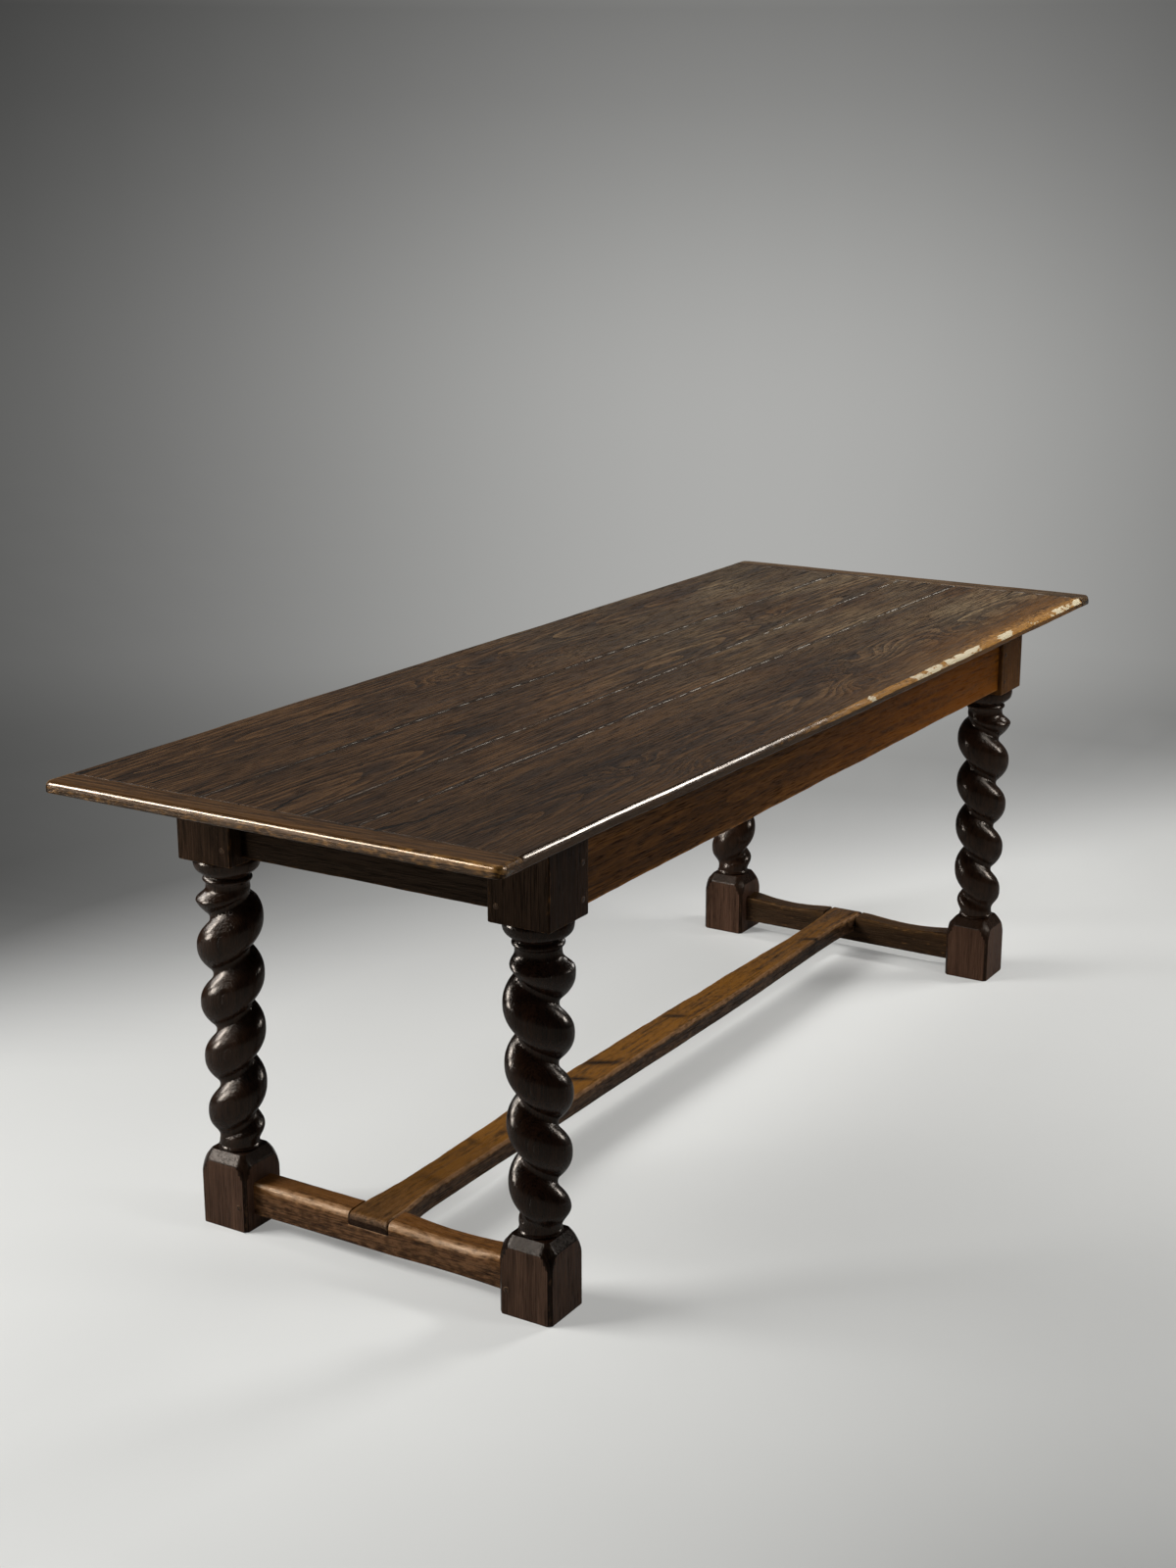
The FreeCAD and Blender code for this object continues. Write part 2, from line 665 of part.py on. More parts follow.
def make_end_stretcher(name, side):
    """The stretcher between the two feet of one end, notched for the long stretcher and worn on top."""
    body = new_body(f"end_stretcher_{name}", x=f"{side} * end_stretcher_x", z="stretcher_lift")
    add_block(body, "bar", "end_stretcher_thickness", "end_stretcher_length", "stretcher_height")
    outer_x = side * size("end_stretcher_thickness") / 2
    top = size("stretcher_height")
    round_edges(
        body, "outer_arris", "end_stretcher_round",
        lambda middle: same(middle.x, outer_x) and same(middle.z, top),
    )
    for worn_side in WORN_SIDES[name]:
        hollow = body.newObject("PartDesign::SubtractiveCylinder", "wear")
        bind(hollow, "Radius", f"{worn_side}_wear_radius")
        bind(hollow, "Height", "2 * end_stretcher_thickness")
        place(
            hollow, "-end_stretcher_thickness", f"{worn_side}_wear_y",
            f"stretcher_height - wear_depth + {worn_side}_wear_radius", ALONG_X,
        )
    cut_block(
        body, "notch", "2 * end_stretcher_thickness", "lap_width", "2 * lap_thickness",
        y="long_stretcher_shift", floor="lap_floor",
    )
    for end, sign in SIDES.items():
        add_block(
            body, f"tenon_{end}", "stretcher_tenon_thickness", "stretcher_tenon_length",
            "stretcher_tenon_height", y=f"{sign} * (end_stretcher_length + stretcher_tenon_length) / 2",
            floor="stretcher_tenon_lift",
        )
        drill(
            body, f"peg_hole_{end}", "stretcher_peg_diameter", "stretcher_tenon_thickness",
            "-stretcher_tenon_thickness / 2", f"{sign} * (end_stretcher_length / 2 + stretcher_peg_edge)",
            "stretcher_peg_lift", ALONG_X,
        )
    drill(body, "lap_peg_hole", "lap_peg_diameter", "lap_floor", 0, "long_stretcher_shift", 0)
    finish(body, f"end_stretcher_{name}")


def make_long_stretcher():
    """The stretcher along the middle, half-lapped over both end stretchers."""
    body = new_body(
        "long_stretcher", y="long_stretcher_shift", z="stretcher_top - long_stretcher_thickness",
    )
    thickness = size("long_stretcher_thickness")
    add_block(
        body, "bar", "long_stretcher_length", "long_stretcher_width", "long_stretcher_thickness",
    )
    half_width = size("long_stretcher_width") / 2
    round_edges(
        body, "upper_arrises", "long_stretcher_round",
        lambda middle: same(abs(middle.y), half_width) and same(middle.z, thickness),
    )
    lap_x = "(long_stretcher_length + end_stretcher_thickness) / 2"
    for end, sign in ENDS.items():
        add_block(
            body, f"lap_{end}", "end_stretcher_thickness", "lap_width", "lap_thickness",
            x=f"{sign} * {lap_x}", floor="long_stretcher_thickness - lap_thickness",
        )
    end_x = size("long_stretcher_length") / 2 + size("end_stretcher_thickness")
    round_edges(
        body, "lap_ends", "end_stretcher_round",
        lambda middle: same(abs(middle.x), end_x) and same(middle.z, thickness),
    )
    for end, sign in ENDS.items():
        drill(
            body, f"lap_peg_hole_{end}", "lap_peg_diameter", "lap_peg_bite",
            f"{sign} * {lap_x}", 0, "long_stretcher_thickness - lap_thickness",
        )
    finish(body, "long_stretcher")


# Pegs, buttons and screws

def make_peg(name, diameter, length, x, y, z, rotation=UPRIGHT):
    """One round peg that runs from its place along the rotated +Z axis."""
    peg = doc.addObject("Part::Cylinder", name)
    bind(peg, "Radius", f"{diameter} / 2")
    bind(peg, "Height", length)
    place(peg, x, y, z, rotation)
    return peg


def group(label, members):
    """Identical fasteners that share one node as separate solids."""
    compound = doc.addObject("Part::Compound", label)
    compound.Links = members
    finish(compound, label)


def make_side_rail_pegs(name, side):
    """Pegs through the head blocks and the tenons of one side rail."""
    group(f"side_rail_pegs_{name}", [
        make_peg(
            f"side_rail_peg_{name}_{end}_{level}", "rail_peg_diameter", "side_peg_length",
            f"{sign} * (side_rail_length / 2 + rail_peg_edge)",
            inward_start(side, "leg_y + block_size / 2", "side_peg_length"),
            f"rail_floor + rail_peg_{level}", ALONG_Y,
        )
        for end, sign in ENDS.items() for level in ("low", "high")
    ])


def make_end_rail_pegs(name, side):
    """Pegs through the head blocks and the tenons of one end rail."""
    group(f"end_rail_pegs_{name}", [
        make_peg(
            f"end_rail_peg_{name}_{end}_{level}", "rail_peg_diameter", "end_peg_length",
            inward_start(side, "leg_x + block_size / 2", "end_peg_length"),
            f"{sign} * (end_rail_length / 2 + rail_peg_edge)",
            f"rail_floor + rail_peg_{level}", ALONG_X,
        )
        for end, sign in SIDES.items() for level in ("low", "high")
    ])


def make_stretcher_pegs(name, side):
    """Pegs through the feet and the tenons of one end stretcher."""
    group(f"stretcher_pegs_{name}", [
        make_peg(
            f"stretcher_peg_{name}_{end}", "stretcher_peg_diameter", "stretcher_peg_length",
            inward_start(side, "leg_x + foot_size / 2", "stretcher_peg_length"),
            f"{sign} * (end_stretcher_length / 2 + stretcher_peg_edge)",
            "stretcher_lift + stretcher_peg_lift", ALONG_X,
        )
        for end, sign in SIDES.items()
    ])


def make_lap_peg(name, side):
    """The blind peg driven from below into one lap of the stretchers."""
    peg = make_peg(
        f"lap_peg_{name}", "lap_peg_diameter", "lap_peg_length",
        f"{side} * end_stretcher_x", "long_stretcher_shift", "stretcher_lift",
    )
    finish(peg, f"lap_peg_{name}")


def make_breadboard_pegs(name, side):
    """Blind pegs driven from below through the tongues in one breadboard end."""
    group(f"breadboard_pegs_{name}", [
        make_peg(
            f"breadboard_peg_{name}_{board}", "breadboard_peg_diameter", "breadboard_peg_length",
            f"{side} * end_tongue_x", f"{board}_board_y", "under_top",
        )
        for board in BOARDS
    ])


def button_spots():
    """Each button's name, its place at the inner face of its rail, and its turn about +Z."""
    spots = {}
    for name, side in SIDES.items():
        for place_name, step in BUTTON_STEPS.items():
            x = f"{step} * button_spacing"
            turn_angle = 0 if side < 0 else 180
            spots[f"{name}_{place_name}"] = (x, f"{side} * side_rail_inner_y", turn_angle)
    for name, side in ENDS.items():
        spots[f"{name}_end"] = (f"{side} * end_rail_inner_x", "third_board_y", 90 * side)
    return spots


def screw_spot(x, y, turn_angle):
    """Place of the screw in a button that starts at a rail's inner face."""
    step_x = {90: "- button_centre", -90: "+ button_centre"}.get(turn_angle, "")
    step_y = {0: "+ button_centre", 180: "- button_centre"}.get(turn_angle, "")
    return f"{x} {step_x}", f"{y} {step_y}"


def board_over(y):
    """Name of the board of the top that is over a place across the table."""
    joints = ("front_joint_y", "middle_joint_y", "back_joint_y")
    return list(BOARDS)[sum(y > size(joint) for joint in joints)]


def screw_spots(board):
    """Places of the screws that go into one board of the top."""
    level = {name: side * size("side_screw_y") for name, side in SIDES.items()}
    level.update({name: size("third_board_y") for name in ENDS})
    return [
        screw_spot(*spot)
        for name, spot in button_spots().items() if board_over(level[name.split("_")[0]]) == board
    ]


def make_button(name, x, y, turn_angle):
    """One wooden button: a pad screwed to the top with a tongue in a rail's slot."""
    rotation = FreeCAD.Rotation(FreeCAD.Vector(0, 0, 1), turn_angle)
    body = new_body(f"top_button_{name}", x, y, "under_top", rotation)
    add_block(
        body, "pad", "button_width", "button_length", "button_thickness",
        y="button_centre", floor="-button_thickness",
    )
    add_block(
        body, "tongue", "button_width", "button_tongue_length + button_gap", "button_tongue_thickness",
        y="(button_gap - button_tongue_length) / 2", floor="-button_thickness",
    )
    drill(body, "screw_hole", "screw_diameter", "button_thickness", 0, "button_centre", "-button_thickness")
    sink = body.newObject("PartDesign::SubtractiveCone", "countersink")
    bind(sink, "Radius1", "screw_head_diameter / 2 + peg_clearance")
    bind(sink, "Radius2", "screw_diameter / 2 + peg_clearance")
    bind(sink, "Height", "screw_head_height")
    place(sink, 0, "button_centre", "-button_thickness")
    finish(body, f"top_button_{name}")


def make_screw(name, x, y):
    """One countersunk screw, driven up through a button into the top."""
    shank = make_peg(f"shank_{name}", "screw_diameter", "screw_length", x, y, "button_floor")
    head = doc.addObject("Part::Cone", f"head_{name}")
    bind(head, "Radius1", "screw_head_diameter / 2")
    bind(head, "Radius2", "screw_diameter / 2")
    bind(head, "Height", "screw_head_height")
    place(head, x, y, "button_floor")
    screw = doc.addObject("Part::MultiFuse", f"screw_{name}")
    screw.Shapes = [shank, head]
    return screw


# The whole table

def make_table():
    """Make every sub-part."""
    for name, outer_side in BOARDS.items():
        make_board(name, outer_side)
    for joint in ("front", "middle", "back"):
        make_loose_tongue(joint)
    for name, (side_x, side_y) in LEGS.items():
        make_leg(name, side_x, side_y)
    for name, side in SIDES.items():
        make_side_rail(name, side)
        make_side_rail_pegs(name, side)
    for name, side in ENDS.items():
        make_breadboard(name, side)
        make_breadboard_pegs(name, side)
        make_end_rail(name, side)
        make_end_rail_pegs(name, side)
        make_end_stretcher(name, side)
        make_stretcher_pegs(name, side)
        make_lap_peg(name, side)
    make_long_stretcher()
    for name, spot in button_spots().items():
        make_button(name, *spot)
    group("button_screws", [
        make_screw(name, *screw_spot(*spot)) for name, spot in button_spots().items()
    ])
    doc.recompute()


def check_table():
    """Stop if any object failed, a cut removed nothing or a sub-part isn't sound."""
    for item in doc.Objects:
        if "Invalid" in item.State or "Error" in item.State:
            raise RuntimeError(f"{item.Name} failed: {item.State}")
        base = getattr(item, "BaseFeature", None)
        cuts = ("Pocket", "PolarPattern", "SubtractiveCylinder", "SubtractiveCone", "Fillet")
        if base and item.TypeId.split("::")[1] in cuts and item.Shape.Volume >= base.Shape.Volume:
            raise RuntimeError(f"{item.Name} cuts nothing")
    for item in finished:
        if item.Shape.isNull() or not item.Shape.isValid() or not item.Shape.Solids:
            raise RuntimeError(f"{item.Label} is not a sound solid")
        separate = len(item.Links) if item.TypeId == "Part::Compound" else 1
        if len(item.Shape.Solids) != separate:
            raise RuntimeError(f"{item.Label} has {len(item.Shape.Solids)} solids")


def write_table():
    """Write each sub-part to its own file."""
    os.makedirs("parts", exist_ok=True)
    for item in finished:
        item.Shape.exportStep(f"parts/{item.Label}.step")
        print(f"{item.Label}: {item.Shape.Volume / 1000:.1f} cm3")


fill_sheet()
make_table()
check_table()
write_table()
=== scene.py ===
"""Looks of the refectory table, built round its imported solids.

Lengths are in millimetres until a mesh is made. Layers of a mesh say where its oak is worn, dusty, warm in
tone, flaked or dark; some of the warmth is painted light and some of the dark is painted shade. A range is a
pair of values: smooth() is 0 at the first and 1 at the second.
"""

import math

import bmesh
import bpy
import numpy as np
from mathutils import Matrix, Vector


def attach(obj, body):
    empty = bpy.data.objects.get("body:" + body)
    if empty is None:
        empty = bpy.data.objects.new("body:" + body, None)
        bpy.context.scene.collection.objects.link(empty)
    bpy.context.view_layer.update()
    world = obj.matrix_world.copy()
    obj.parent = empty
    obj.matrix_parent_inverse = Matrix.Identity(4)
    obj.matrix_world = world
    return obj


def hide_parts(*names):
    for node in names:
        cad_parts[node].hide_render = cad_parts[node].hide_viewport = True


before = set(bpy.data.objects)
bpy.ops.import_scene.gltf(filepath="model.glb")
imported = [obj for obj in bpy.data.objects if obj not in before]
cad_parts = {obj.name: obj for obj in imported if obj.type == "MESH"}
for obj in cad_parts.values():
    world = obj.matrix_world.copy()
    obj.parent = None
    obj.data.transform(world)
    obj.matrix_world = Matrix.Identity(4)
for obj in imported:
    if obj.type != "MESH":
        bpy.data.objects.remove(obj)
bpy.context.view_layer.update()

MM = 0.001
BODY = "root"
LAYERS = ("wear", "dust", "tone_and_light", "flake", "dark_marks_and_shade")
SIDES = (("front", -1), ("back", 1))
ENDS = (("left", -1), ("right", 1))

# Main sizes of the table, as in its solids
TOP = 760
TOP_THICK = 18
UNDER_TOP = TOP - TOP_THICK
HALF_LENGTH = 1075
HALF_WIDTH = 400
BOARD_END = 1021
TOP_ARRIS = 8
LOWER_ARRIS = 2.5
LEG_X = 822
LEG_Y = 281
BLOCK_HALF = 51
BLOCK_FLOOR = 600
BLOCK_HEIGHT = UNDER_TOP - BLOCK_FLOOR
FOOT_HALF = 45
RAIL_FLOOR = 610
SIDE_RAIL_FACE = LEG_Y + BLOCK_HALF - 8
SIDE_RAIL_THICK = 28
END_RAIL_FACE = LEG_X + BLOCK_HALF - 27
END_RAIL_THICK = 26
STRETCHER_FLOOR = 25
STRETCHER_TOP = 79
STRETCHER_OUTER = LEG_X + 25
STRETCHER_INNER = LEG_X - 21
LONG_FLOOR = 46.0
LAP_X = 801.0
LAP_FLOOR = 57
LAP_LOW = -24
LAP_HIGH = 52

# Points along one rounded corner of a section, gap kept to a neighbour, and reach of a bar into a leg
ARC = 6
TINY = 0.35
TUCK = 1

# Octaves of an irregular line, their spread and falling off, and the height taken as 1
WAVE_OCTAVES = 4
WAVE_SPREAD = (0.85, 1.15)
WAVE_FALL = 1.6
WAVE_PEAK = 1.8

# How far along its log a piece may have been sawn
LOG_REACH = 4000


def wave(t, seed, length):
    """Smooth irregular line through 0, about -1 to 1, whose longest wave is length."""
    rng = np.random.default_rng(seed)
    t = np.asarray(t, float)
    total = np.zeros_like(t)
    for octave in range(WAVE_OCTAVES):
        phase = rng.uniform(0, 2 * math.pi)
        rate = 2 * math.pi * (2 ** octave) * rng.uniform(*WAVE_SPREAD) / length
        total += np.sin(rate * t + phase) / (WAVE_FALL ** octave)
    return np.clip(total / WAVE_PEAK, -1, 1)


def rough_cut(t, depth, seed, length):
    """How far a hand-worked face lies inside its plane, from 0 to twice a depth."""
    return depth * (1 + wave(t, seed, length))


def smooth(low, high, value):
    """0 at low, 1 at high, with an eased rise between them."""
    t = np.clip((np.asarray(value, float) - low) / (high - low), 0, 1)
    return t * t * (3 - 2 * t)


def along(start, end, step, extra=()):
    """Places from start to end about a step apart, with the extra ones among them."""
    count = max(2, int(round((end - start) / step)) + 1)
    return np.sort(np.concatenate([np.linspace(start, end, count), np.asarray(extra, float)]))


def roll(distance, radius):
    """How far a rounded edge has dropped at a distance from its end."""
    left = np.clip(radius - np.asarray(distance, float), 0, radius)
    return radius - np.sqrt(np.maximum(radius * radius - left * left, 0))


def curve(points, parts):
    """Points along a smooth curve through the given ones, with so many parts between two of them."""
    points = np.asarray(points, float)
    slopes = np.gradient(points, axis=0)
    t = np.linspace(0, 1, parts, endpoint=False)[:, None]
    rows = []
    for here, there, leaving, arriving in zip(points[:-1], points[1:], slopes[:-1], slopes[1:]):
        ends = (1 + 2 * t) * (1 - t) ** 2 * here + t ** 2 * (3 - 2 * t) * there
        rows.append(ends + t * (1 - t) ** 2 * leaving + t ** 2 * (t - 1) * arriving)
    return np.vstack([*rows, points[-1:]])


def section(low, high, floor, ceiling, radii, across, upright=(0.15, 0.5, 0.85), worn_flat=(1, 1, 1, 1)):
    """Outlines of a bar's sections, one row per station, and which of the four corners each point rounds.

    The corners run low-floor, high-floor, high-ceiling, low-ceiling. A round one has a worn flat of 1, and
    a flatter one has more. Points on the sides have the corner -1.
    """
    low, high, floor, ceiling, *radii = np.broadcast_arrays(low, high, floor, ceiling, *radii)
    places = ((low, floor, 1, 1), (high, floor, -1, 1), (high, ceiling, -1, -1), (low, ceiling, 1, -1))
    arcs = []
    for number, (u, v, u_sign, v_sign) in enumerate(places):
        turn = np.radians(180 + 90 * number + np.linspace(0, 90, ARC))
        in_u, in_v = (1 - np.abs(part) ** worn_flat[number] for part in (np.cos(turn), np.sin(turn)))
        radius = radii[number][:, None]
        arcs.append(np.stack([u[:, None] + u_sign * radius * in_u, v[:, None] + v_sign * radius * in_v]))
    columns, corner = [], []
    for number, (arc, after) in enumerate(zip(arcs, arcs[1:] + arcs[:1])):
        shares = np.asarray(upright if number % 2 else across)
        columns += [arc, arc[..., -1:] + (after[..., :1] - arc[..., -1:]) * shares]
        corner += [number] * ARC + [-1] * len(shares)
    u, v = np.concatenate(columns, -1)
    return u, v, np.array(corner)


def by_corner(corner, shares):
    """One number per point of a section, from those given for some of its corners."""
    return np.array([shares.get(int(number), 0.0) for number in corner])[None, :]


def rings_along(axis, places, u, v):
    """Rings of points for sections set along the x or the y axis."""
    run = np.repeat(np.asarray(places, float)[:, None], u.shape[1], axis=1)
    order = (run, u, v) if axis == "x" else (u, run, v)
    return np.stack(order, axis=-1)


def skin(rings):
    """Points and faces of a closed surface over a stack of rings, with a fan over each end."""
    count, size = rings.shape[:2]
    points = np.vstack([rings.reshape(-1, 3), rings[0].mean(0), rings[-1].mean(0)])
    start = np.arange(count - 1)[:, None] * size
    here = np.arange(size)
    there = (here + 1) % size
    quads = np.stack([start + here, start + there, start + size + there, start + size + here], -1)
    middle = np.full(size, count * size)
    tail = (count - 1) * size
    fans = np.vstack([
        np.stack([middle, there, here], -1),
        np.stack([middle + 1, tail + here, tail + there], -1),
    ])
    return points, quads.reshape(-1, 4).tolist() + fans.tolist()


def ringed(values, rings):
    """One number per point of a skin, from one per ring point, with the middles of the ends after them."""
    full = np.broadcast_to(values, rings.shape[:2]).astype(float)
    return np.concatenate([full.reshape(-1), [full[0].mean(), full[-1].mean()]])


def set_layer(mesh, name, values):
    """Store one number or one vector per point."""
    values = np.asarray(values, np.float32)
    kind, key = ("FLOAT", "value") if values.ndim == 1 else ("FLOAT_VECTOR", "vector")
    stored = mesh.attributes.new(name, kind, "POINT")
    stored.data.foreach_set(key, values.reshape(-1))


def grain_of(points, axis, seed, pith, slope=0.0):
    """Places in the log a piece was sawn from, in metres: x along the grain, and the pith at y = z = 0."""
    rng = np.random.default_rng(seed)
    order = {"x": (0, 1, 2), "y": (1, 0, 2), "z": (2, 0, 1)}[axis]
    turned = points[:, order].copy()
    middle = (turned.min(0) + turned.max(0)) / 2
    run = turned[:, 0] - middle[0]
    turned[:, 1] += pith[0] - middle[1]
    turned[:, 2] += pith[1] - middle[2] + slope * run
    turned[:, 0] = run + rng.uniform(-LOG_REACH, LOG_REACH)
    return turned * MM


def make_piece(name, points, faces, node, finishes, layers, grain, smooth_angle=35):
    """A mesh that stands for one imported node. The layer called finish picks one of its finishes."""
    mesh = bpy.data.meshes.new(name)
    mesh.from_pydata((points * MM).tolist(), [], faces)
    work = bmesh.new()
    work.from_mesh(mesh)
    bmesh.ops.recalc_face_normals(work, faces=work.faces)
    work.to_mesh(mesh)
    work.free()
    for key in LAYERS:
        set_layer(mesh, key, layers.get(key, np.zeros(len(points))))
    set_layer(mesh, "grain", grain)
    mesh.polygons.foreach_set("use_smooth", [True] * len(mesh.polygons))
    mesh.set_sharp_from_angle(angle=math.radians(smooth_angle))
    for finish in finishes:
        mesh.materials.append(OAK[finish])
    if "finish" in layers:
        for face in mesh.polygons:
            face.material_index = int(round(min(layers["finish"][i] for i in face.vertices)))
    piece = bpy.data.objects.new(name, mesh)
    bpy.context.scene.collection.objects.link(piece)
    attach(piece, BODY)
    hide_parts(node)


def make_bar(node, rings, finishes, layers, log, name=None, smooth_angle=35):
    """A piece skinned over rings. Its log is (axis of the grain, seed, place of the pith, slope)."""
    points, faces = skin(rings)
    layers = {key: ringed(values, rings) for key, values in layers.items()}
    name = name or f"{node}_dressed"
    make_piece(name, points, faces, node, finishes, layers, grain_of(points, *log), smooth_angle)


# Materials

def add(tree, kind, inputs=None, **settings):
    """A shader node with its settings, and with values or links at its inputs."""
    made = tree.nodes.new("ShaderNode" + kind)
    for key, value in settings.items():
        setattr(made, key, value)
    for key, value in (inputs or {}).items():
        if isinstance(value, bpy.types.NodeSocket):
            tree.links.new(value, made.inputs[key])
        else:
            made.inputs[key].default_value = value
    return made


def calc(tree, operation, first, second=0.0, clamp=False):
    """Result of one sum in the shader."""
    return add(tree, "Math", {0: first, 1: second}, operation=operation, use_clamp=clamp).outputs[0]


def blend(tree, *parts):
    """Sum of values, each times its own weight."""
    total = calc(tree, "MULTIPLY", *parts[0])
    for value, weight in parts[1:]:
        total = add(tree, "Math", {0: value, 1: weight, 2: total}, operation="MULTIPLY_ADD").outputs[0]
    return total


def vector(tree, operation, first, second):
    """Results of one sum of vectors in the shader."""
    return add(tree, "VectorMath", {0: first, 1: second}, operation=operation).outputs


def mixed(tree, share, first, second, kind="MIX"):
    """Two colours mixed in the shader."""
    return add(tree, "MixRGB", {"Fac": share, "Color1": first, "Color2": second}, blend_type=kind).outputs[0]


def noise(tree, place, rate, detail=3.0, rough=0.55):
    """Noise at so many waves a metre along each axis of a coordinate."""
    scaled = vector(tree, "MULTIPLY", place, rate)[0]
    inputs = {"Vector": scaled, "Scale": 1.0, "Detail": detail, "Roughness": rough}
    return add(tree, "TexNoise", inputs).outputs["Fac"]


def ramp(tree, value, low, high):
    """0 at low and 1 at high, held outside them."""
    return add(tree, "MapRange", {"Value": value, "From Min": low, "From Max": high}).outputs[0]


def shades(tree, value, colours):
    """A colour picked along a row of them, evenly set from 0 to 1."""
    made = tree.nodes.new("ShaderNodeValToRGB")
    steps = made.color_ramp.elements
    while len(steps) < len(colours):
        steps.new(0.5)
    for number, colour in enumerate(colours):
        steps[number].position = number / (len(colours) - 1)
        steps[number].color = colour
    tree.links.new(value, made.inputs[0])
    return made.outputs["Color"]


def layer(tree, name):
    """A number stored at the points of the mesh."""
    return add(tree, "Attribute", attribute_name=name).outputs["Fac"]


def new_material(name):
    """A material with its node tree and its surface shader."""
    material = bpy.data.materials.new(name)
    material.use_nodes = True
    return material, material.node_tree, material.node_tree.nodes["Principled BSDF"]


def knot_lift(tree, where, knots):
    """How far the growth rings rise round knots, given as (x, y, length, width, rise) in millimetres."""
    parts = []
    for x, y, length, width, rise in knots:
        near = vector(tree, "SUBTRACT", where, (x * MM, y * MM, 0))[0]
        near = vector(tree, "MULTIPLY", near, (1000 / length, 1000 / width, 0))[0]
        squared = vector(tree, "DOT_PRODUCT", near, near)["Value"]
        parts.append((calc(tree, "EXPONENT", calc(tree, "MULTIPLY", squared, -1.0)), rise * MM))
    return blend(tree, *parts)


# Cracks: waves a metre, waver in metres, how they close, share of the width, and soft edge in metres
CRACK_WAVES = (28.0, 40.0, 0.0)
CRACK_WAVER = 0.012
CRACK_CLOSING = 1.15
CRACK_SHARE = 0.8
CRACK_EDGE = (-0.0006, 0.0004)


def crack_mask(tree, where, cracks):
    """1 in cracks, given as (x, y, end x, end y, width) in millimetres, which close towards their ends."""
    waver = calc(tree, "SUBTRACT", noise(tree, where, CRACK_WAVES), 0.5)
    waver = calc(tree, "MULTIPLY", waver, CRACK_WAVER)
    moved = vector(tree, "ADD", where, add(tree, "CombineXYZ", {1: waver}).outputs[0])[0]
    mask = None
    for x, y, end_x, end_y, width in cracks:
        run = np.array([end_x - x, end_y - y, 0.0]) * MM
        reach = float(run @ run)
        near = vector(tree, "SUBTRACT", moved, (x * MM, y * MM, 0))[0]
        share = vector(tree, "DOT_PRODUCT", near, tuple(run))["Value"]
        share = calc(tree, "DIVIDE", share, reach, clamp=True)
        foot = add(tree, "VectorMath", {0: tuple(run), "Scale": share}, operation="SCALE").outputs[0]
        off = vector(tree, "SUBTRACT", near, foot)[0]
        off = vector(tree, "MULTIPLY", off, (1.0, 1.0, 0.0))[0]
        gap = vector(tree, "LENGTH", off, (0, 0, 0))["Value"]
        half = calc(tree, "SUBTRACT", CRACK_CLOSING, share)
        half = calc(tree, "MULTIPLY", half, width * MM * CRACK_SHARE)
        own = ramp(tree, calc(tree, "SUBTRACT", half, gap), *CRACK_EDGE)
        mask = own if mask is None else calc(tree, "MAXIMUM", mask, own)
    return mask


# Patterns in the oak: waves a metre along and across the grain, octaves, roughness, and for most a range
PATTERNS = {
    "bands": (2.2, 48.0, 4.0, 0.55, 0.30, 0.70),
    "streaks": (7.0, 140.0, 6.0, 0.66, 0.34, 0.66),
    "pores": (22.0, 520.0, 3.0, 0.55, 0.52, 0.64),
    "fibres": (45.0, 950.0, 2.0, 0.55),
    "patches": (2.6, 9.0, 5.0, 0.6, 0.32, 0.68),
    "dents": (70.0, 160.0, 4.0, 0.55),
    "sheen_patches": (3.1, 11.0, 3.0, 0.55, 0.36, 0.66),
    "dashes": (34.0, 50.0, 5.0, 0.55, 0.46, 0.58),
    "scales": (38.0, 90.0, 4.0, 0.65),
}
# Growth rings: how much they are drawn out along the grain, and how they waver
RING_STRETCH = (0.22, 1.0, 1.0)
RING_WAVER = {"Distortion": 22.0, "Detail": 4.0, "Detail Scale": 0.07, "Detail Roughness": 0.45}
# Ranges of the summed patterns for the body colours, the warm tone, wear and chips
BODY_RANGE = (0.02, 0.74)
WARM_RANGE = (0.36, 0.88)
WORN_RANGE = (1.2, 1.75)
CHIP_RANGE = (1.12, 1.22)
# Painted sheen: where the top turns paler along its length, in metres, and how many times
PAINTED_SHEEN_RUN = (-0.3, 0.7)
PAINTED_SHEEN = (2.15, 3.0, 4.1, 1.0)
DUST = (0.40, 0.36, 0.31, 1.0)
CHIP = (0.50, 0.43, 0.29, 1.0)
# Near-black of joints, cracks and scorches, and of the painted shade on the front left of the top
GAP_AND_SHADE = (0.004, 0.0025, 0.0018, 1.0)
RELIEF = 0.0008
# Colours of the light that waxed and polished oak throws back
WAXED = (1.0, 0.62, 0.34, 1.0)
POLISHED = (1.0, 0.88, 0.76, 1.0)
BUFFED = (1.0, 0.74, 0.50, 1.0)


def pattern(tree, grain, name):
    """One of the patterns in the oak."""
    run, across, detail, rough, *limits = PATTERNS[name]
    value = noise(tree, grain, (run, across, across), detail, rough)
    return ramp(tree, value, *limits) if limits else value


def growth_rings(tree, grain, rate):
    """Growth rings round the pith."""
    drawn = vector(tree, "MULTIPLY", grain, RING_STRETCH)[0]
    kind = {"wave_type": "RINGS", "rings_direction": "X", "wave_profile": "SAW"}
    return add(tree, "TexWave", {"Vector": drawn, "Scale": rate, **RING_WAVER}, **kind).outputs["Fac"]


def rgba(colour):
    """A colour given in ten-thousandths."""
    return (*(part / 10000 for part in colour), 1.0)


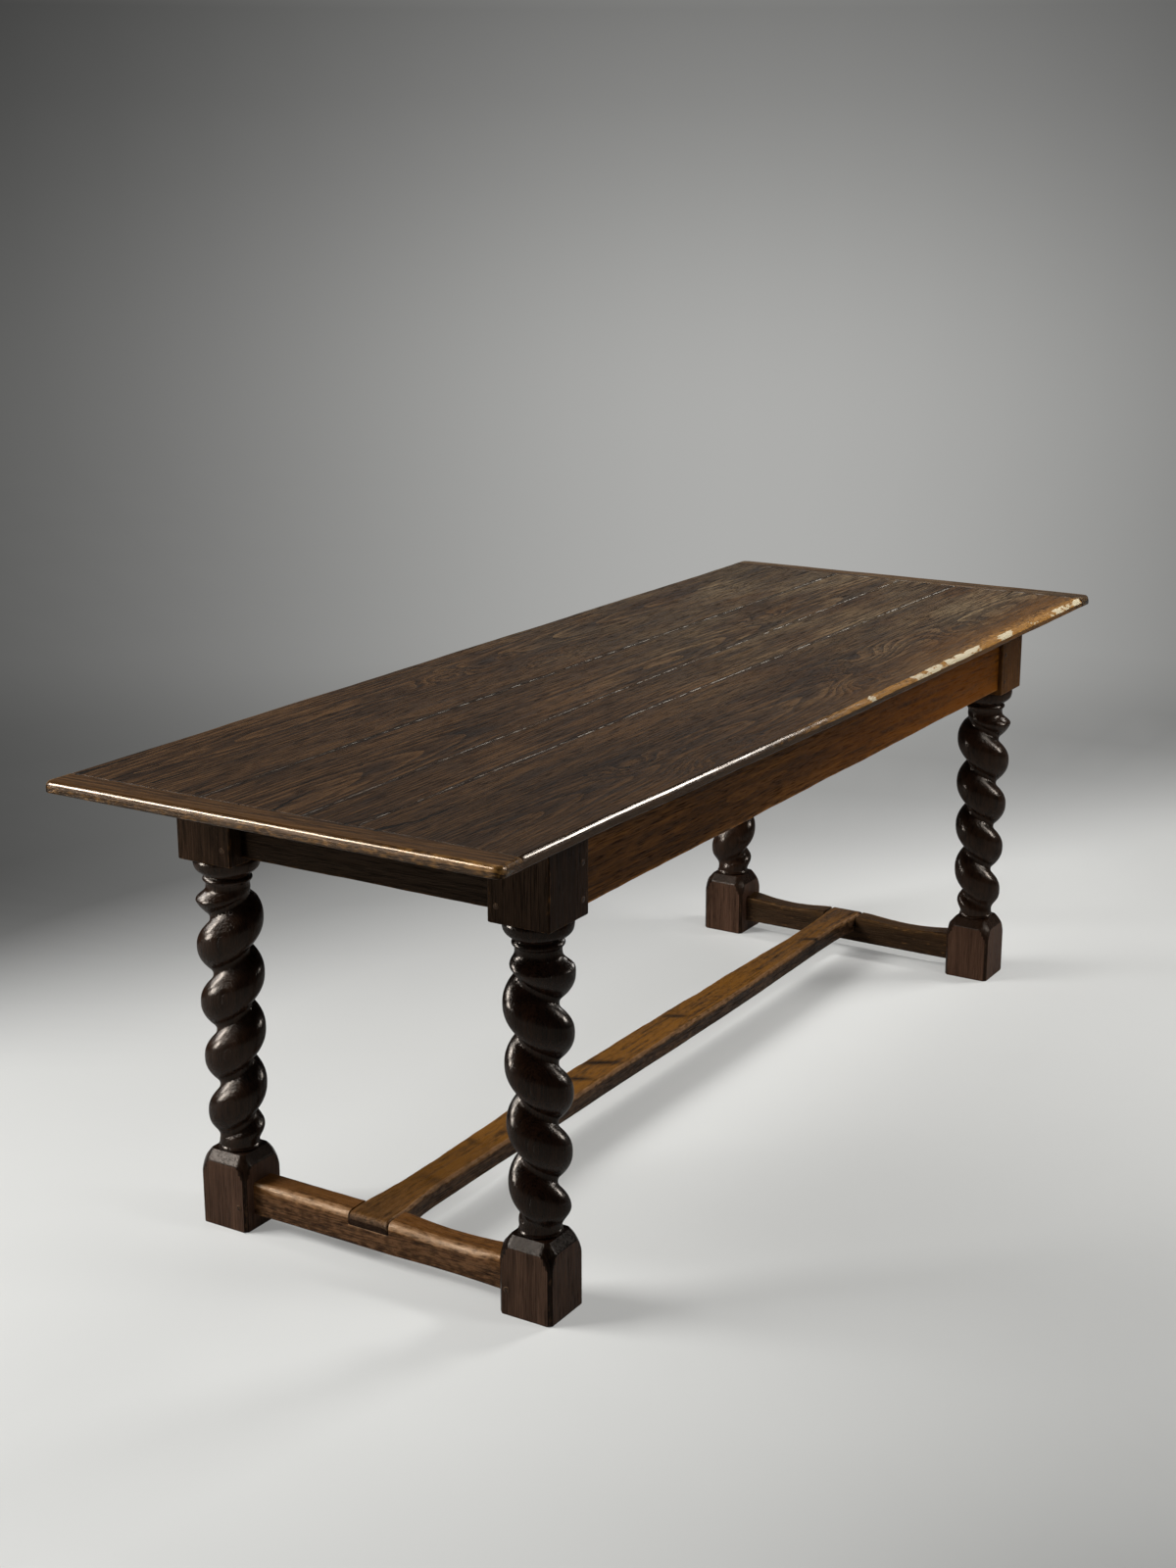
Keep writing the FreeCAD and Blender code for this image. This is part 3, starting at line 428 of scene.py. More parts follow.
def oak(
        name, dark, deep, light, pale, warm, worn, rough, shine, ring_rate, ring_bump, knots=(), cracks=(),
        bump=0.5, tint=WAXED, painted_sheen=0.0, pits=1.0, mottle=0.0, figure=0.2):
    """Aged oak, made warm, worn, dusty, flaked or dark by the layers of a mesh, with painted light in some
    of the warmth, painted shade in some of the dark, and a painted sheen on the top.
    """
    material, tree, shader = new_material(name)
    grain = add(tree, "Attribute", attribute_name="grain").outputs["Vector"]
    where = add(tree, "TexCoord").outputs["Object"]
    if knots:
        lift = add(tree, "CombineXYZ", {2: knot_lift(tree, where, knots)}).outputs[0]
        grain = vector(tree, "ADD", grain, lift)[0]
    rings = growth_rings(tree, grain, ring_rate)
    bands, streaks, pores, fibres, patches, dents, sheen_patches, dashes, scales = (
        pattern(tree, grain, key) for key in PATTERNS)

    # Colour of the body, then paler with a painted sheen, warmer (partly painted light), worn, dusty, flaked
    # and darker (partly painted shade)
    value = blend(
        tree, (patches, 0.27), (bands, 0.16), (streaks, 0.38), (rings, figure), (fibres, 0.22),
        (pores, -0.42))
    value = blend(tree, (value, 1.0), (calc(tree, "SUBTRACT", dents, 0.5), mottle))
    value = ramp(tree, value, *(0.5 * figure + limit for limit in BODY_RANGE))
    colour = shades(tree, value, [rgba(shade) for shade in (dark, deep, light, pale)])
    # Painted sheen: the top turns paler and greyer towards its right end
    sheen_share = ramp(tree, add(tree, "SeparateXYZ", {0: where}).outputs[0], *PAINTED_SHEEN_RUN)
    sheen_share = calc(tree, "MULTIPLY", calc(tree, "MULTIPLY", sheen_patches, sheen_share), painted_sheen)
    colour = mixed(tree, sheen_share, colour, mixed(tree, 1.0, colour, PAINTED_SHEEN, "MULTIPLY"))
    warmth_and_light = ramp(tree, blend(tree, (streaks, 0.5), (patches, 0.3), (dents, 0.8)), *WARM_RANGE)
    warmth_and_light = calc(tree, "MULTIPLY", layer(tree, "tone_and_light"), warmth_and_light)
    colour = mixed(tree, warmth_and_light, colour, rgba(warm))
    broken = ramp(tree, blend(tree, (layer(tree, "wear"), 1.0), (dents, 1.2), (fibres, 0.5)), *WORN_RANGE)
    colour = mixed(tree, broken, colour, rgba(worn))
    dusty = calc(tree, "MULTIPLY", layer(tree, "dust"), dashes)
    colour = mixed(tree, dusty, colour, DUST)
    chips = ramp(tree, blend(tree, (layer(tree, "flake"), 0.9), (scales, 1.3)), *CHIP_RANGE)
    colour = mixed(tree, chips, colour, CHIP)
    # Dark joints and scorches, and painted shade on the front left of the top
    colour = mixed(tree, layer(tree, "dark_marks_and_shade"), colour, GAP_AND_SHADE)

    # Height and dullness of the surface
    pitted = blend(tree, (streaks, 0.5), (pores, -0.9), (dents, 0.6), (fibres, 0.25))
    height = blend(tree, (rings, ring_bump), (pitted, pits), (chips, -1.5))
    coarse = blend(tree, (streaks, 0.16), (pores, 0.22))
    dull = blend(tree, (coarse, pits), (dusty, 0.4), (chips, 0.4), (rings, 0.12 * ring_bump))
    if cracks:
        gaps = crack_mask(tree, where, cracks)
        colour = mixed(tree, gaps, colour, GAP_AND_SHADE)
        height = blend(tree, (height, 1.0), (gaps, -4.0))
    tree.links.new(colour, shader.inputs["Base Color"])
    tree.links.new(calc(tree, "ADD", dull, rough - 0.1, clamp=True), shader.inputs["Roughness"])
    shader.inputs["Specular IOR Level"].default_value = shine
    shader.inputs["Specular Tint"].default_value = tint
    raised = add(tree, "Bump", {"Strength": bump, "Distance": RELIEF, "Height": height}).outputs[0]
    tree.links.new(raised, shader.inputs["Normal"])
    return material


SCREW_GREY = (0.23, 0.22, 0.21, 1.0)
RUST = (0.12, 0.06, 0.03, 1.0)
RUST_WAVES = (300.0, 300.0, 300.0)
RUST_RANGE = (0.45, 0.6)


def steel(name):
    """Dulled steel of the screws, with rust."""
    material, tree, shader = new_material(name)
    where = add(tree, "TexCoord").outputs["Object"]
    rust = ramp(tree, noise(tree, where, RUST_WAVES), *RUST_RANGE)
    tree.links.new(mixed(tree, rust, SCREW_GREY, RUST), shader.inputs["Base Color"])
    tree.links.new(blend(tree, (rust, 0.35), (1.0, 0.4)), shader.inputs["Roughness"])
    shader.inputs["Metallic"].default_value = 0.9
    return material


# Knots of the top as (x, y, length, width, rise), and its cracks as (x, y, end x, end y, width)
KNOTS = (
    (-30, 215, 70, 24, 22), (-223, 293, 60, 26, 16), (-32, 297, 26, 10, 9), (-443, -355, 95, 30, 24),
    (-560, -278, 60, 22, 14), (114, -337, 70, 26, 20), (276, -259, 120, 40, 24), (-193, -213, 40, 14, 9),
    (620, -300, 90, 30, 16), (520, 60, 60, 20, 12), (700, 260, 70, 26, 14),
)
CRACKS = (
    (-1021, 382, -880, 374, 4.0), (-1021, -158, -955, -180, 6.0), (-955, -180, -800, -181, 3.0),
    (-1021, 20, -905, 39, 3.0), (-1021, -106, -900, -129, 3.0), (-1000, 257, -905, 252, 3.0),
    (-1010, 165, -790, 163, 1.6), (-1021, 79, -650, 52, 1.4), (-1021, 318, -870, 315, 2.6),
    (-646, -249, -640, -249, 5.0), (-578, -279, -570, -279, 5.0), (-32, 297, -22, 296, 5.0),
    (-301, -356, -292, -356, 4.0), (1021, -60, 900, -52, 2.5), (1021, 210, 870, 214, 2.5),
    (1021, -250, 930, -262, 2.2),
)

# Finishes of the oak: four body colours from dark to pale, a warm and a worn one, all in ten-thousandths,
# then roughness, shine, rate and relief of the growth rings, and other looks
FINISHES = {
    "top": (
        (60, 26, 11), (165, 74, 29), (360, 168, 64), (840, 420, 165), (1150, 500, 115), (3000, 1450, 360),
        0.38, 0.06, 70, 0.4,
        {"knots": KNOTS, "cracks": CRACKS, "tint": POLISHED, "painted_sheen": 0.9, "figure": 0.42}),
    "top_edge": (
        (18, 8, 4), (40, 19, 9), (80, 40, 18), (180, 92, 42), (1150, 500, 115), (3000, 1450, 360),
        0.22, 0.34, 70, 0.2, {"bump": 0.08, "tint": BUFFED, "pits": 0.5}),
    "top_side": (
        (18, 8, 4), (40, 19, 9), (80, 40, 18), (180, 92, 42), (1150, 500, 115), (3000, 1450, 360),
        0.40, 0.08, 70, 0.4, {}),
    "turned": (
        (10, 4, 2), (26, 10, 5), (60, 23, 11), (140, 55, 25), (360, 175, 95), (1000, 480, 200),
        0.19, 0.13, 95, 1.2, {"bump": 1.1, "tint": POLISHED, "pits": 0.08}),
    "block": (
        (27, 12, 6), (69, 33, 18), (143, 71, 39), (285, 150, 87), (1050, 440, 125), (1600, 740, 200),
        0.40, 0.025, 80, 0.6, {}),
    "shoulder": (
        (8, 4, 2), (19, 9, 5), (40, 19, 10), (85, 42, 22), (360, 175, 95), (900, 440, 200),
        0.30, 0.05, 80, 0.4, {"bump": 0.3, "tint": POLISHED, "pits": 0.5}),
    "foot": (
        (90, 48, 30), (195, 105, 68), (340, 185, 120), (600, 330, 210), (850, 420, 265), (1000, 500, 240),
        0.46, 0.05, 80, 0.6, {}),
    "rail": (
        (130, 44, 8), (340, 128, 25), (670, 264, 56), (1280, 520, 122), (1650, 500, 40), (2600, 1000, 180),
        0.44, 0.02, 60, 0.4, {"mottle": 0.2}),
    # Painted shade: the end rails' body is darkened near to black for the shade under the overhanging top
    "end_rail": (
        (10, 5, 3), (20, 9, 5), (38, 18, 10), (80, 38, 19), (500, 200, 60), (900, 400, 120),
        0.46, 0.02, 60, 0.4, {}),
    "stretcher": (
        (66, 32, 15), (185, 94, 48), (370, 194, 102), (720, 390, 205), (2050, 840, 115), (3000, 1500, 500),
        0.40, 0.06, 70, 0.4, {"mottle": 1.5}),
    "end_stretcher": (
        (90, 37, 15), (260, 112, 44), (520, 235, 96), (1040, 500, 220), (1500, 580, 105), (3000, 1500, 550),
        0.40, 0.04, 70, 0.4, {"mottle": 1.6}),
    "far_stretcher": (
        (40, 20, 10), (90, 46, 24), (165, 88, 46), (340, 180, 90), (600, 280, 85), (2200, 1050, 300),
        0.42, 0.06, 70, 0.4, {}),
    "arris": (
        (120, 52, 22), (320, 148, 64), (620, 300, 140), (1100, 580, 290), (1700, 720, 160),
        (3000, 1650, 800), 0.32, 0.11, 70, 0.3, {"bump": 0.3, "tint": BUFFED, "mottle": 1.4}),
    "peg": (
        (25, 12, 8), (60, 30, 20), (120, 64, 40), (220, 120, 75), (600, 320, 180), (700, 370, 200),
        0.40, 0.08, 120, 0.5, {}),
    "inner": (
        (600, 340, 160), (1000, 600, 300), (1500, 920, 480), (2100, 1300, 700), (2500, 1500, 800),
        (2800, 1800, 1000), 0.62, 0.3, 80, 0.4, {}),
}
OAK = {name: oak(f"oak_{name}", *values, **looks) for name, (*values, looks) in FINISHES.items()}
STEEL = steel("screw_steel")
TOP_FINISHES = ("top", "top_edge", "top_side")



# The top

EDGE_WAVER = 0.9
TAPER = 11
TAPER_X = (-100, -950)
# Edges and joints of the top as (y, lean over half its length, waver, seed, longest wave)
LINES = {
    "front_edge": (EDGE_WAVER - HALF_WIDTH, 0.0, EDGE_WAVER, 4, 500),
    "front_joint": (-123, 0.0, 0.8, 1, 900),
    "middle_joint": (-14.5, 16.5, 1.6, 2, 700),
    "back_joint": (149, 0.0, 0.8, 3, 1100),
    "back_edge": (HALF_WIDTH - EDGE_WAVER, 0.0, -EDGE_WAVER, 5, 600),
}
# Share of pale dust and of dark gap along each joint
JOINT_LOOKS = {"front_joint": (1.8, 0.5), "middle_joint": (1.1, 0.55), "back_joint": (1.0, 0.8)}
# Boards as (front line, back line, side of an outer edge, pith, slope of the grain)
BOARDS = {
    "front": ("front_edge", "front_joint", -1, (40, 95), 0.022),
    "second": ("front_joint", "middle_joint", 0, (75, 60), -0.012),
    "third": ("middle_joint", "back_joint", 0, (30, 110), 0.016),
    "back": ("back_joint", "back_edge", 1, (-35, 80), -0.02),
}
# How boards are set out along x, waved and rounded, with the rounding under and over their joints
BOARD_STEP = 8
BOARD_INSET = 1.4
BOARD_WAVER = 0.3
BOARD_WAVE = 420
BOARD_ROUND = 0.8
JOINT_ROUNDS = (0.36, 0.6)
# Places across a board: so far from its joints, and as shares of its width
JOINT_STEPS = (0.5, 1.8, 3.6, 5.6, 8.0, 16.0)
BOARD_SHARES = np.linspace(0.09, 0.91, 13)
# Corner of a section at the outer edge, by its side, with a number past the corners for none
OUTER_CORNERS = {-1: 3, 0: 9, 1: 2}
ARRIS_TOP = 0.4
SEAM_DEPTH = 3
SEAM_WIDTH = 4.6
# Chips in the front arris as (middle, half length, share), and how far in and down they reach
FLAKES = (
    (20, 35, 0.5), (250, 110, 0.68), (430, 100, 0.74), (618, 45, 0.84), (760, 60, 0.5), (905, 70, 0.78),
    (1010, 40, 0.6),
)
FLAKE_IN = (15, 6)
FLAKE_DEPTH = 9
# Ranges along x, across y or in from the front edge, of wear, gold wear, dust, painted shade and warm tone
WEAR_X = (-420, 0)
GOLD_X = (50, 600)
GOLD_IN = (52, 6)
GOLD_DEPTH = 2
DUST_X = (-900, -250)
PAINTED_SHADE_X = (300, -600)
PAINTED_SHADE_Y = (-100, -260)
TONE_X = (-100, 900)
TONE_Y = (-270, -390)


def line_at(name, x):
    """Where an edge or a joint lies across the top, at places along it."""
    y, lean, waver, seed, longest = LINES[name]
    line = y + lean * x / BOARD_END + waver * wave(x, seed, longest)
    return line + TAPER * smooth(*TAPER_X, x) if name == "front_edge" else line


def edge_finish(corner, arris, u, v):
    """Finish 1 on the outer arris of the top, 2 on the upright edge under it and 0 elsewhere."""
    at_arris = (corner == arris)[None, :]
    upright = (v < TOP - TOP_ARRIS + 1) | (v < TOP - ARRIS_TOP * TOP_ARRIS) & at_arris
    outer = at_arris.any() & (np.abs(u) > np.abs(u).max(1, keepdims=True) - TOP_ARRIS)
    return np.where(upright & outer, 2, at_arris * 1)


def joint_look(corner, low_name, high_name, u, v):
    """Dust and dark seam at the points of one board along its two joints."""
    dust, dark_marks_and_shade = np.zeros_like(u), np.zeros_like(u)
    upper = v > TOP - SEAM_DEPTH
    for name, number, edge in ((low_name, 3, u.min(1)), (high_name, 2, u.max(1))):
        pale, dark = JOINT_LOOKS.get(name, (0.0, 0.0))
        dust += pale * (corner == number)[None, :]
        dark_marks_and_shade += dark * (upper & (np.abs(u - edge[:, None]) < SEAM_WIDTH) & (corner != number)[None, :])
    return dust, dark_marks_and_shade


def flake_share(x):
    """How far the front arris has flaked at places along it."""
    return sum(share * np.exp(-((x - middle) / half) ** 2) for middle, half, share in FLAKES)


def make_board(name, low_name, high_name, outer, pith, slope):
    """One board of the top, with its outer edge rounded and its joints eased."""
    reach = BOARD_END - TINY
    x = along(-reach, reach, BOARD_STEP, (-BOARD_END + BOARD_INSET, BOARD_END - BOARD_INSET))
    low = line_at(low_name, x) + (TINY if outer >= 0 else 0)
    high = line_at(high_name, x) - (TINY if outer <= 0 else 0)
    ceiling = TOP - rough_cut(x, BOARD_WAVER, pith[1], BOARD_WAVE) - roll(reach - np.abs(x), BOARD_ROUND)
    under, upper = JOINT_ROUNDS
    radii = (
        LOWER_ARRIS if outer < 0 else under, LOWER_ARRIS if outer > 0 else under,
        TOP_ARRIS if outer > 0 else upper, TOP_ARRIS if outer < 0 else upper,
    )
    near = np.array(JOINT_STEPS) / abs(high[0] - low[0])
    across = np.sort(np.concatenate([near, BOARD_SHARES, 1 - near]))
    u, v, corner = section(low, high, UNDER_TOP + TINY, ceiling, radii, across, worn_flat=(1, 1, 1.5, 1.5))
    outer_corner = OUTER_CORNERS[outer]
    inward = u - low[:, None]
    dust, dark_marks_and_shade = joint_look(corner, low_name, high_name, u, v)
    # Painted shade: the front left of the top is darkened
    shade = 0.24 * smooth(*PAINTED_SHADE_X, x)[:, None] * smooth(*PAINTED_SHADE_Y, u)
    worn = 0.2 + 0.65 * smooth(*WEAR_X, x) if outer < 0 else np.full_like(x, 0.05)
    wear = worn[:, None] * (corner == outer_corner)[None, :]
    chips = np.zeros_like(u)
    if outer < 0:
        strip = smooth(*GOLD_X, x)[:, None] * smooth(*GOLD_IN, inward) * (v > TOP - GOLD_DEPTH)
        wear = np.maximum(wear, 0.62 * strip)
        chips = flake_share(x)[:, None] * smooth(*FLAKE_IN, inward) * (v > TOP - FLAKE_DEPTH)
    layers = {
        "wear": wear,
        "dust": dust * (0.35 + 0.65 * smooth(*DUST_X, x))[:, None],
        "dark_marks_and_shade": np.maximum(dark_marks_and_shade, shade),
        "flake": chips,
        "tone_and_light": 0.7 * (0.3 + smooth(*TONE_X, x)[:, None]) * smooth(*TONE_Y, u),
        "finish": edge_finish(corner, outer_corner, u, v),
    }
    make_bar(
        f"top_board_{name}", rings_along("x", x, u, v), TOP_FINISHES, layers,
        ("x", pith[1], pith, slope), f"board_{name}")


# Breadboard ends: corners in plan, places at their ends and across them, and their rounding
PLAN_CORNERS = {-1: 13, 1: 21}
BREADBOARD_INSET = 26
BREADBOARD_STEPS = (0, 0.6, 1.5, 3, 5, 8, 11, 14, 18, 21)
BREADBOARD_EDGES = np.array([0.016, 0.04, 0.14])
BREADBOARD_SHARES = (0.35, 0.5, 0.65)
BREADBOARD_ROUNDS = (0.4, 0.8)
ARRIS_SHARES = (0.25, 0.6)
END_SEAM_WIDTH = 2.4
# Their worn tips by end, and ranges of wear, of tips and of a warm rim
TIP_WEAR = {-1: (0.55, 0.8), 1: (0.3, 0.3)}
TIP_IN = (15, 0)
TIP_LEVELS = (TOP - 12, TOP - 4)
END_WEAR_Y = (-60, -HALF_WIDTH)
RIM_X = (1045, 1066)
RIM_LEVELS = (TOP - 6, TOP - 1)


def make_breadboard(end, sign):
    """One board across the end of the top, with rounded corners in plan and a worn outer arris."""
    front = -HALF_WIDTH + (TAPER if sign < 0 else 0)
    back = HALF_WIDTH
    ends = [front + step for step in BREADBOARD_STEPS] + [back - step for step in BREADBOARD_STEPS]
    y = along(front + BREADBOARD_INSET, back - BREADBOARD_INSET, BOARD_STEP, ends)
    left = np.minimum(y - front, back - y)
    outer = HALF_LENGTH - rough_cut(y, 0.5, 11 + sign, 260) - roll(left, PLAN_CORNERS[sign])
    ceiling = TOP - rough_cut(y, 0.25, 14 + sign, 300) - roll(left, TOP_ARRIS)
    floor = UNDER_TOP + TINY + roll(left, LOWER_ARRIS)
    inner = BOARD_END + TINY + rough_cut(y, 0.25, 17 + sign, 200)
    lower = np.minimum(LOWER_ARRIS, (ceiling - floor) * ARRIS_SHARES[0])
    arris = np.minimum(TOP_ARRIS, (ceiling - floor) * ARRIS_SHARES[1])
    across = np.concatenate([BREADBOARD_EDGES, BREADBOARD_SHARES, 1 - BREADBOARD_EDGES[::-1]])
    radii = (BREADBOARD_ROUNDS[0], lower, arris, BREADBOARD_ROUNDS[1])
    u, v, corner = section(inner, outer, floor, ceiling, radii, across, worn_flat=(1, 1, 1.3, 1))
    front_tip, back_tip = TIP_WEAR[sign]
    tip = np.where(y > 0, back_tip, front_tip) * smooth(*TIP_IN, left)
    tip = tip[:, None] * smooth(*TIP_LEVELS, v)
    worn = 0.15 + 0.45 * smooth(*END_WEAR_Y, y) if sign < 0 else np.full_like(y, 0.05)
    wear = np.maximum(worn[:, None] * (corner == 2)[None, :], tip)
    wear = np.maximum(wear, 0.36 * (v < TOP - 5) * (u > BOARD_END + 40))
    upper = v > TOP - SEAM_DEPTH
    front_end = ((left < 4) & (y < 0))[:, None] & upper
    layers = {
        "wear": wear,
        "dust": (corner == 3)[None, :] * 0.45,
        "tone_and_light": (0.16 + 0.34 * smooth(*RIM_X, u)) * smooth(*RIM_LEVELS, v),
        "dark_marks_and_shade": (np.abs(u - BOARD_END) < END_SEAM_WIDTH) & upper & (corner != 3)[None, :],
        "finish": np.where(front_end, 1, edge_finish(corner, 2, u, v)),
    }
    make_bar(
        f"breadboard_{end}", rings_along("y", y, sign * u, v), TOP_FINISHES, layers,
        ("y", 30 + sign, (25, 70), 0.015))


# The legs

# Head block: drops of its rings from the top, and rounding of its two ends and its corners
BLOCK_DROPS = (0.0, 0.6, 1.5, 40, 80, 110, 130, 136, 139.0, 140.2, 141.2, 141.8, 142.0)
BLOCK_TOP_ROUND = 0.8
BLOCK_FOOT_ROUND = 2.6
BLOCK_CORNER = 2.2
# Outlines of the turned collar and of the bead on the foot, as (height, distance from the axis)
COLLAR = (
    (600, 50.4), (594.5, 51.3), (584, 48.6), (575.6, 39.6), (572.2, 34.2),
    (568.8, 37.0), (564.8, 37.8), (560.2, 34.4), (555, 33.6), (551, 34),
)
FOOT_BEAD = ((131, 31), (127.6, 32.7), (124.4, 31.4))
# Twist: pairs are its values at the top and at the foot
TWIST_TOP = 551.0
TWIST_FOOT = 131.0
TWIST_STEP = 2.5
TWIST_PITCH = 91.0
TWIST_FADES = (22.0, 34.0)
TWIST_NECK = (34.0, 31.0)
TWIST_PEAK = (53.0, 44.7)
TWIST_VALLEY = (31.0, 25.5)
TWIST_FULLNESS = 2.3
COVE_START = 0.88
COVE_DEPTH = 1.0
# Foot: levels of its rings, bevelled shoulders, turned dome, chamfers and sole
FOOT_TOP = 124.2
FOOT_LEVELS = (
    124.0, 123.0, 121, 118, 115, 112.5, 111.4, 110.6, 109.8, 109.0, 108.2, 107.4, 106.6, 105, 102, 99, 96,
    93, 90, 88, 86, 84, 80, 70, 50, 30, 12, 4,
)
SOLE_LEVELS = (2.0, 0.9, 0.3, 0.0)
SOLE_ROUND = 2.0
FOOT_CUT = 5.5
FOOT_SQUARE = 84
SAWN_LOW = 2.5
SAWN_INSET = 0.3
SHOULDER = 109.0
SHOULDER_IN = 12.5
SHOULDER_ROUND = 2.2
DOME_CENTRE = -3.2
DOME_RADIUS = 63.3
DOME_FLOOR = 80.0
# Wear of the corners and of the lip under the head block
CORNER_RANGE = (0.93, 1.0)
CORNER_WEAR = 0.3
LIP_HEIGHT = 3
LIP_WEAR = 0.4
# Sides, start and hand of the twist, and warmth of the head block and of all below it, which is painted
# light that lightens the front-right block and the legs seen lit
LEGS = {
    "front_left": (-1, -1, 180, 1, 0.0, 0.1),
    "front_right": (1, -1, 258, 1, 0.75, 0.42),
    "back_left": (-1, 1, 145, -1, 0.0, 0.3),
    "back_right": (1, 1, 149, -1, 0.0, 0.45),
}
# Angles of a ring's points: close together at the corners, and even along the sides
CORNER_ANGLES = np.array([40.6, 41.2, 41.6, 42.6, 43.6, 44.2, 44.6])
SIDE_ANGLES = np.linspace(-38.5, 38.5, 25)
QUARTER = np.concatenate([[-45], -CORNER_ANGLES[::-1], SIDE_ANGLES, CORNER_ANGLES])
TURNS = np.radians(np.concatenate([QUARTER + 90 * quarter for quarter in range(4)]))
TURN_X = np.abs(np.cos(TURNS))
TURN_Y = np.abs(np.sin(TURNS))
TURN_SIDE = np.maximum(TURN_X, TURN_Y)


def square_radius(half, corner):
    """Distance to the side of a square with rounded corners, at each angle of a ring."""
    straight = half / TURN_SIDE
    inner = half - corner
    along_diagonal = inner * (TURN_X + TURN_Y)
    reach = along_diagonal + np.sqrt(np.maximum(along_diagonal ** 2 - 2 * inner ** 2 + corner ** 2, 0))
    return np.where(straight * np.minimum(TURN_X, TURN_Y) > inner, reach, straight)


def chamfered_radius(half, cut):
    """Distance to the side of a square with chamfered corners, at each angle of a ring."""
    return np.minimum(half / TURN_SIDE, (2 * half - cut) / (TURN_X + TURN_Y))


def twist_radius(z, start, hand):
    """Distance to the twist at a height: full round bulges with a narrow cove between them."""
    drop = TWIST_TOP - z
    share = drop / (TWIST_TOP - TWIST_FOOT)
    fade = smooth(0, TWIST_FADES[0], drop) * smooth(0, TWIST_FADES[1], z - TWIST_FOOT)
    neck, peak, valley = (top + (foot - top) * share for top, foot in (TWIST_NECK, TWIST_PEAK, TWIST_VALLEY))
    lead = np.radians(start + hand * 360 * drop / TWIST_PITCH)
    phase = np.abs(np.angle(np.exp(1j * (TURNS - lead)))) / math.pi
    bulge = 1 - np.clip(phase / COVE_START, 0, 1) ** TWIST_FULLNESS
    cove = np.sin(np.clip((phase - COVE_START) / (1 - COVE_START), 0, 1) * math.pi / 2)
    out = valley + (peak - valley) * bulge - COVE_DEPTH * cove
    return neck + (out - neck) * fade


def foot_radius(z):
    """Distance to the square foot under its turned dome and bevelled shoulders."""
    slope = SHOULDER_IN / (FOOT_TOP - SHOULDER)
    turn = np.clip((z - SHOULDER + SHOULDER_ROUND) / (2 * SHOULDER_ROUND), 0, 1)
    rise = np.where(turn < 1, turn * turn * SHOULDER_ROUND, z - SHOULDER)
    bevel = (FOOT_HALF - slope * rise) / TURN_SIDE
    dome = DOME_CENTRE + math.sqrt(max(DOME_RADIUS ** 2 - max(z - DOME_FLOOR, 0.0) ** 2, 0.0))
    return np.minimum(np.minimum(chamfered_radius(FOOT_HALF, FOOT_CUT), bevel), dome)


def leg_rings(start, hand):
    """Rings of one leg from its head down, as (height, distances), about its own axis."""
    rings = []
    for drop in BLOCK_DROPS:
        ease = roll(BLOCK_HEIGHT - drop, BLOCK_FOOT_ROUND) + roll(drop, BLOCK_TOP_ROUND)
        rings.append((UNDER_TOP - drop, square_radius(BLOCK_HALF - ease, BLOCK_CORNER)))
    rings += [(z, np.full_like(TURNS, radius)) for z, radius in curve(COLLAR, parts=4)]
    for z in np.arange(TWIST_TOP - TWIST_STEP, TWIST_FOOT + 1, -TWIST_STEP):
        rings.append((z, twist_radius(z, start, hand)))
    rings += [(z, np.full_like(TURNS, radius)) for z, radius in curve(FOOT_BEAD, parts=3)]
    rings += [(z, foot_radius(z)) for z in FOOT_LEVELS]
    rings += [(z, chamfered_radius(FOOT_HALF - roll(z, SOLE_ROUND), FOOT_CUT)) for z in SOLE_LEVELS]
    return rings


def make_leg(name, x_side, y_side, start, hand, block_painted_light, shaft_painted_light):
    """One leg: head block, collar, twisted shaft and foot as one skin."""
    stack = leg_rings(start, hand)
    z = np.array([height for height, _ in stack])
    radius = np.stack([distances for _, distances in stack])
    x = x_side * LEG_X + radius * np.cos(TURNS)
    y = y_side * LEG_Y + radius * np.sin(TURNS)
    rings = np.stack([x, y, np.repeat(z[:, None], len(TURNS), 1)], -1)
    squared = ((z > BLOCK_FLOOR) | (z < FOOT_SQUARE))[:, None]
    edge = smooth(*CORNER_RANGE, np.cos(4 * TURNS + math.pi)[None, :]) * squared
    lip = np.where((z > BLOCK_FLOOR) & (z < BLOCK_FLOOR + LIP_HEIGHT), LIP_WEAR, 0.0)[:, None]
    inset = np.where(z < SAWN_LOW, SAWN_LOW, SAWN_INSET)[:, None]
    sawn = (z < SHOULDER)[:, None] & (radius > (FOOT_HALF / TURN_SIDE)[None, :] - inset)
    head = (z > BLOCK_FLOOR + 0.5)[:, None]
    below = np.where((z < FOOT_TOP)[:, None], 2, 0)
    layers = {
        "wear": np.maximum(edge * CORNER_WEAR, lip),
        # Painted light: warmth that lightens the block and the shaft of the legs seen lit
        "tone_and_light": np.where(head, block_painted_light, shaft_painted_light),
        "finish": np.where(sawn, 3, np.where(head, 1, below)),
    }
    make_bar(
        f"leg_{name}", rings, ("turned", "block", "shoulder", "foot"), layers,
        ("z", 50 + 3 * x_side + y_side, (70, 35), 0.01), smooth_angle=21)


# Rails and stretchers

RAIL_ACROSS = (0.2, 0.5, 0.8)
RAIL_UPRIGHT = (0.03, 0.1, 0.3, 0.5, 0.7, 0.9, 0.97)
RAIL_ROUND = 1.5
RAIL_TOP_ROUND = 0.6
# Painted light: the rails warm towards the right end, most on the front rail, whose face is seen lit there
RAIL_PAINTED_LIGHT = {-1: 0.75, 1: 0.2}
RAIL_PAINTED_LIGHT_X = (-300, 600)


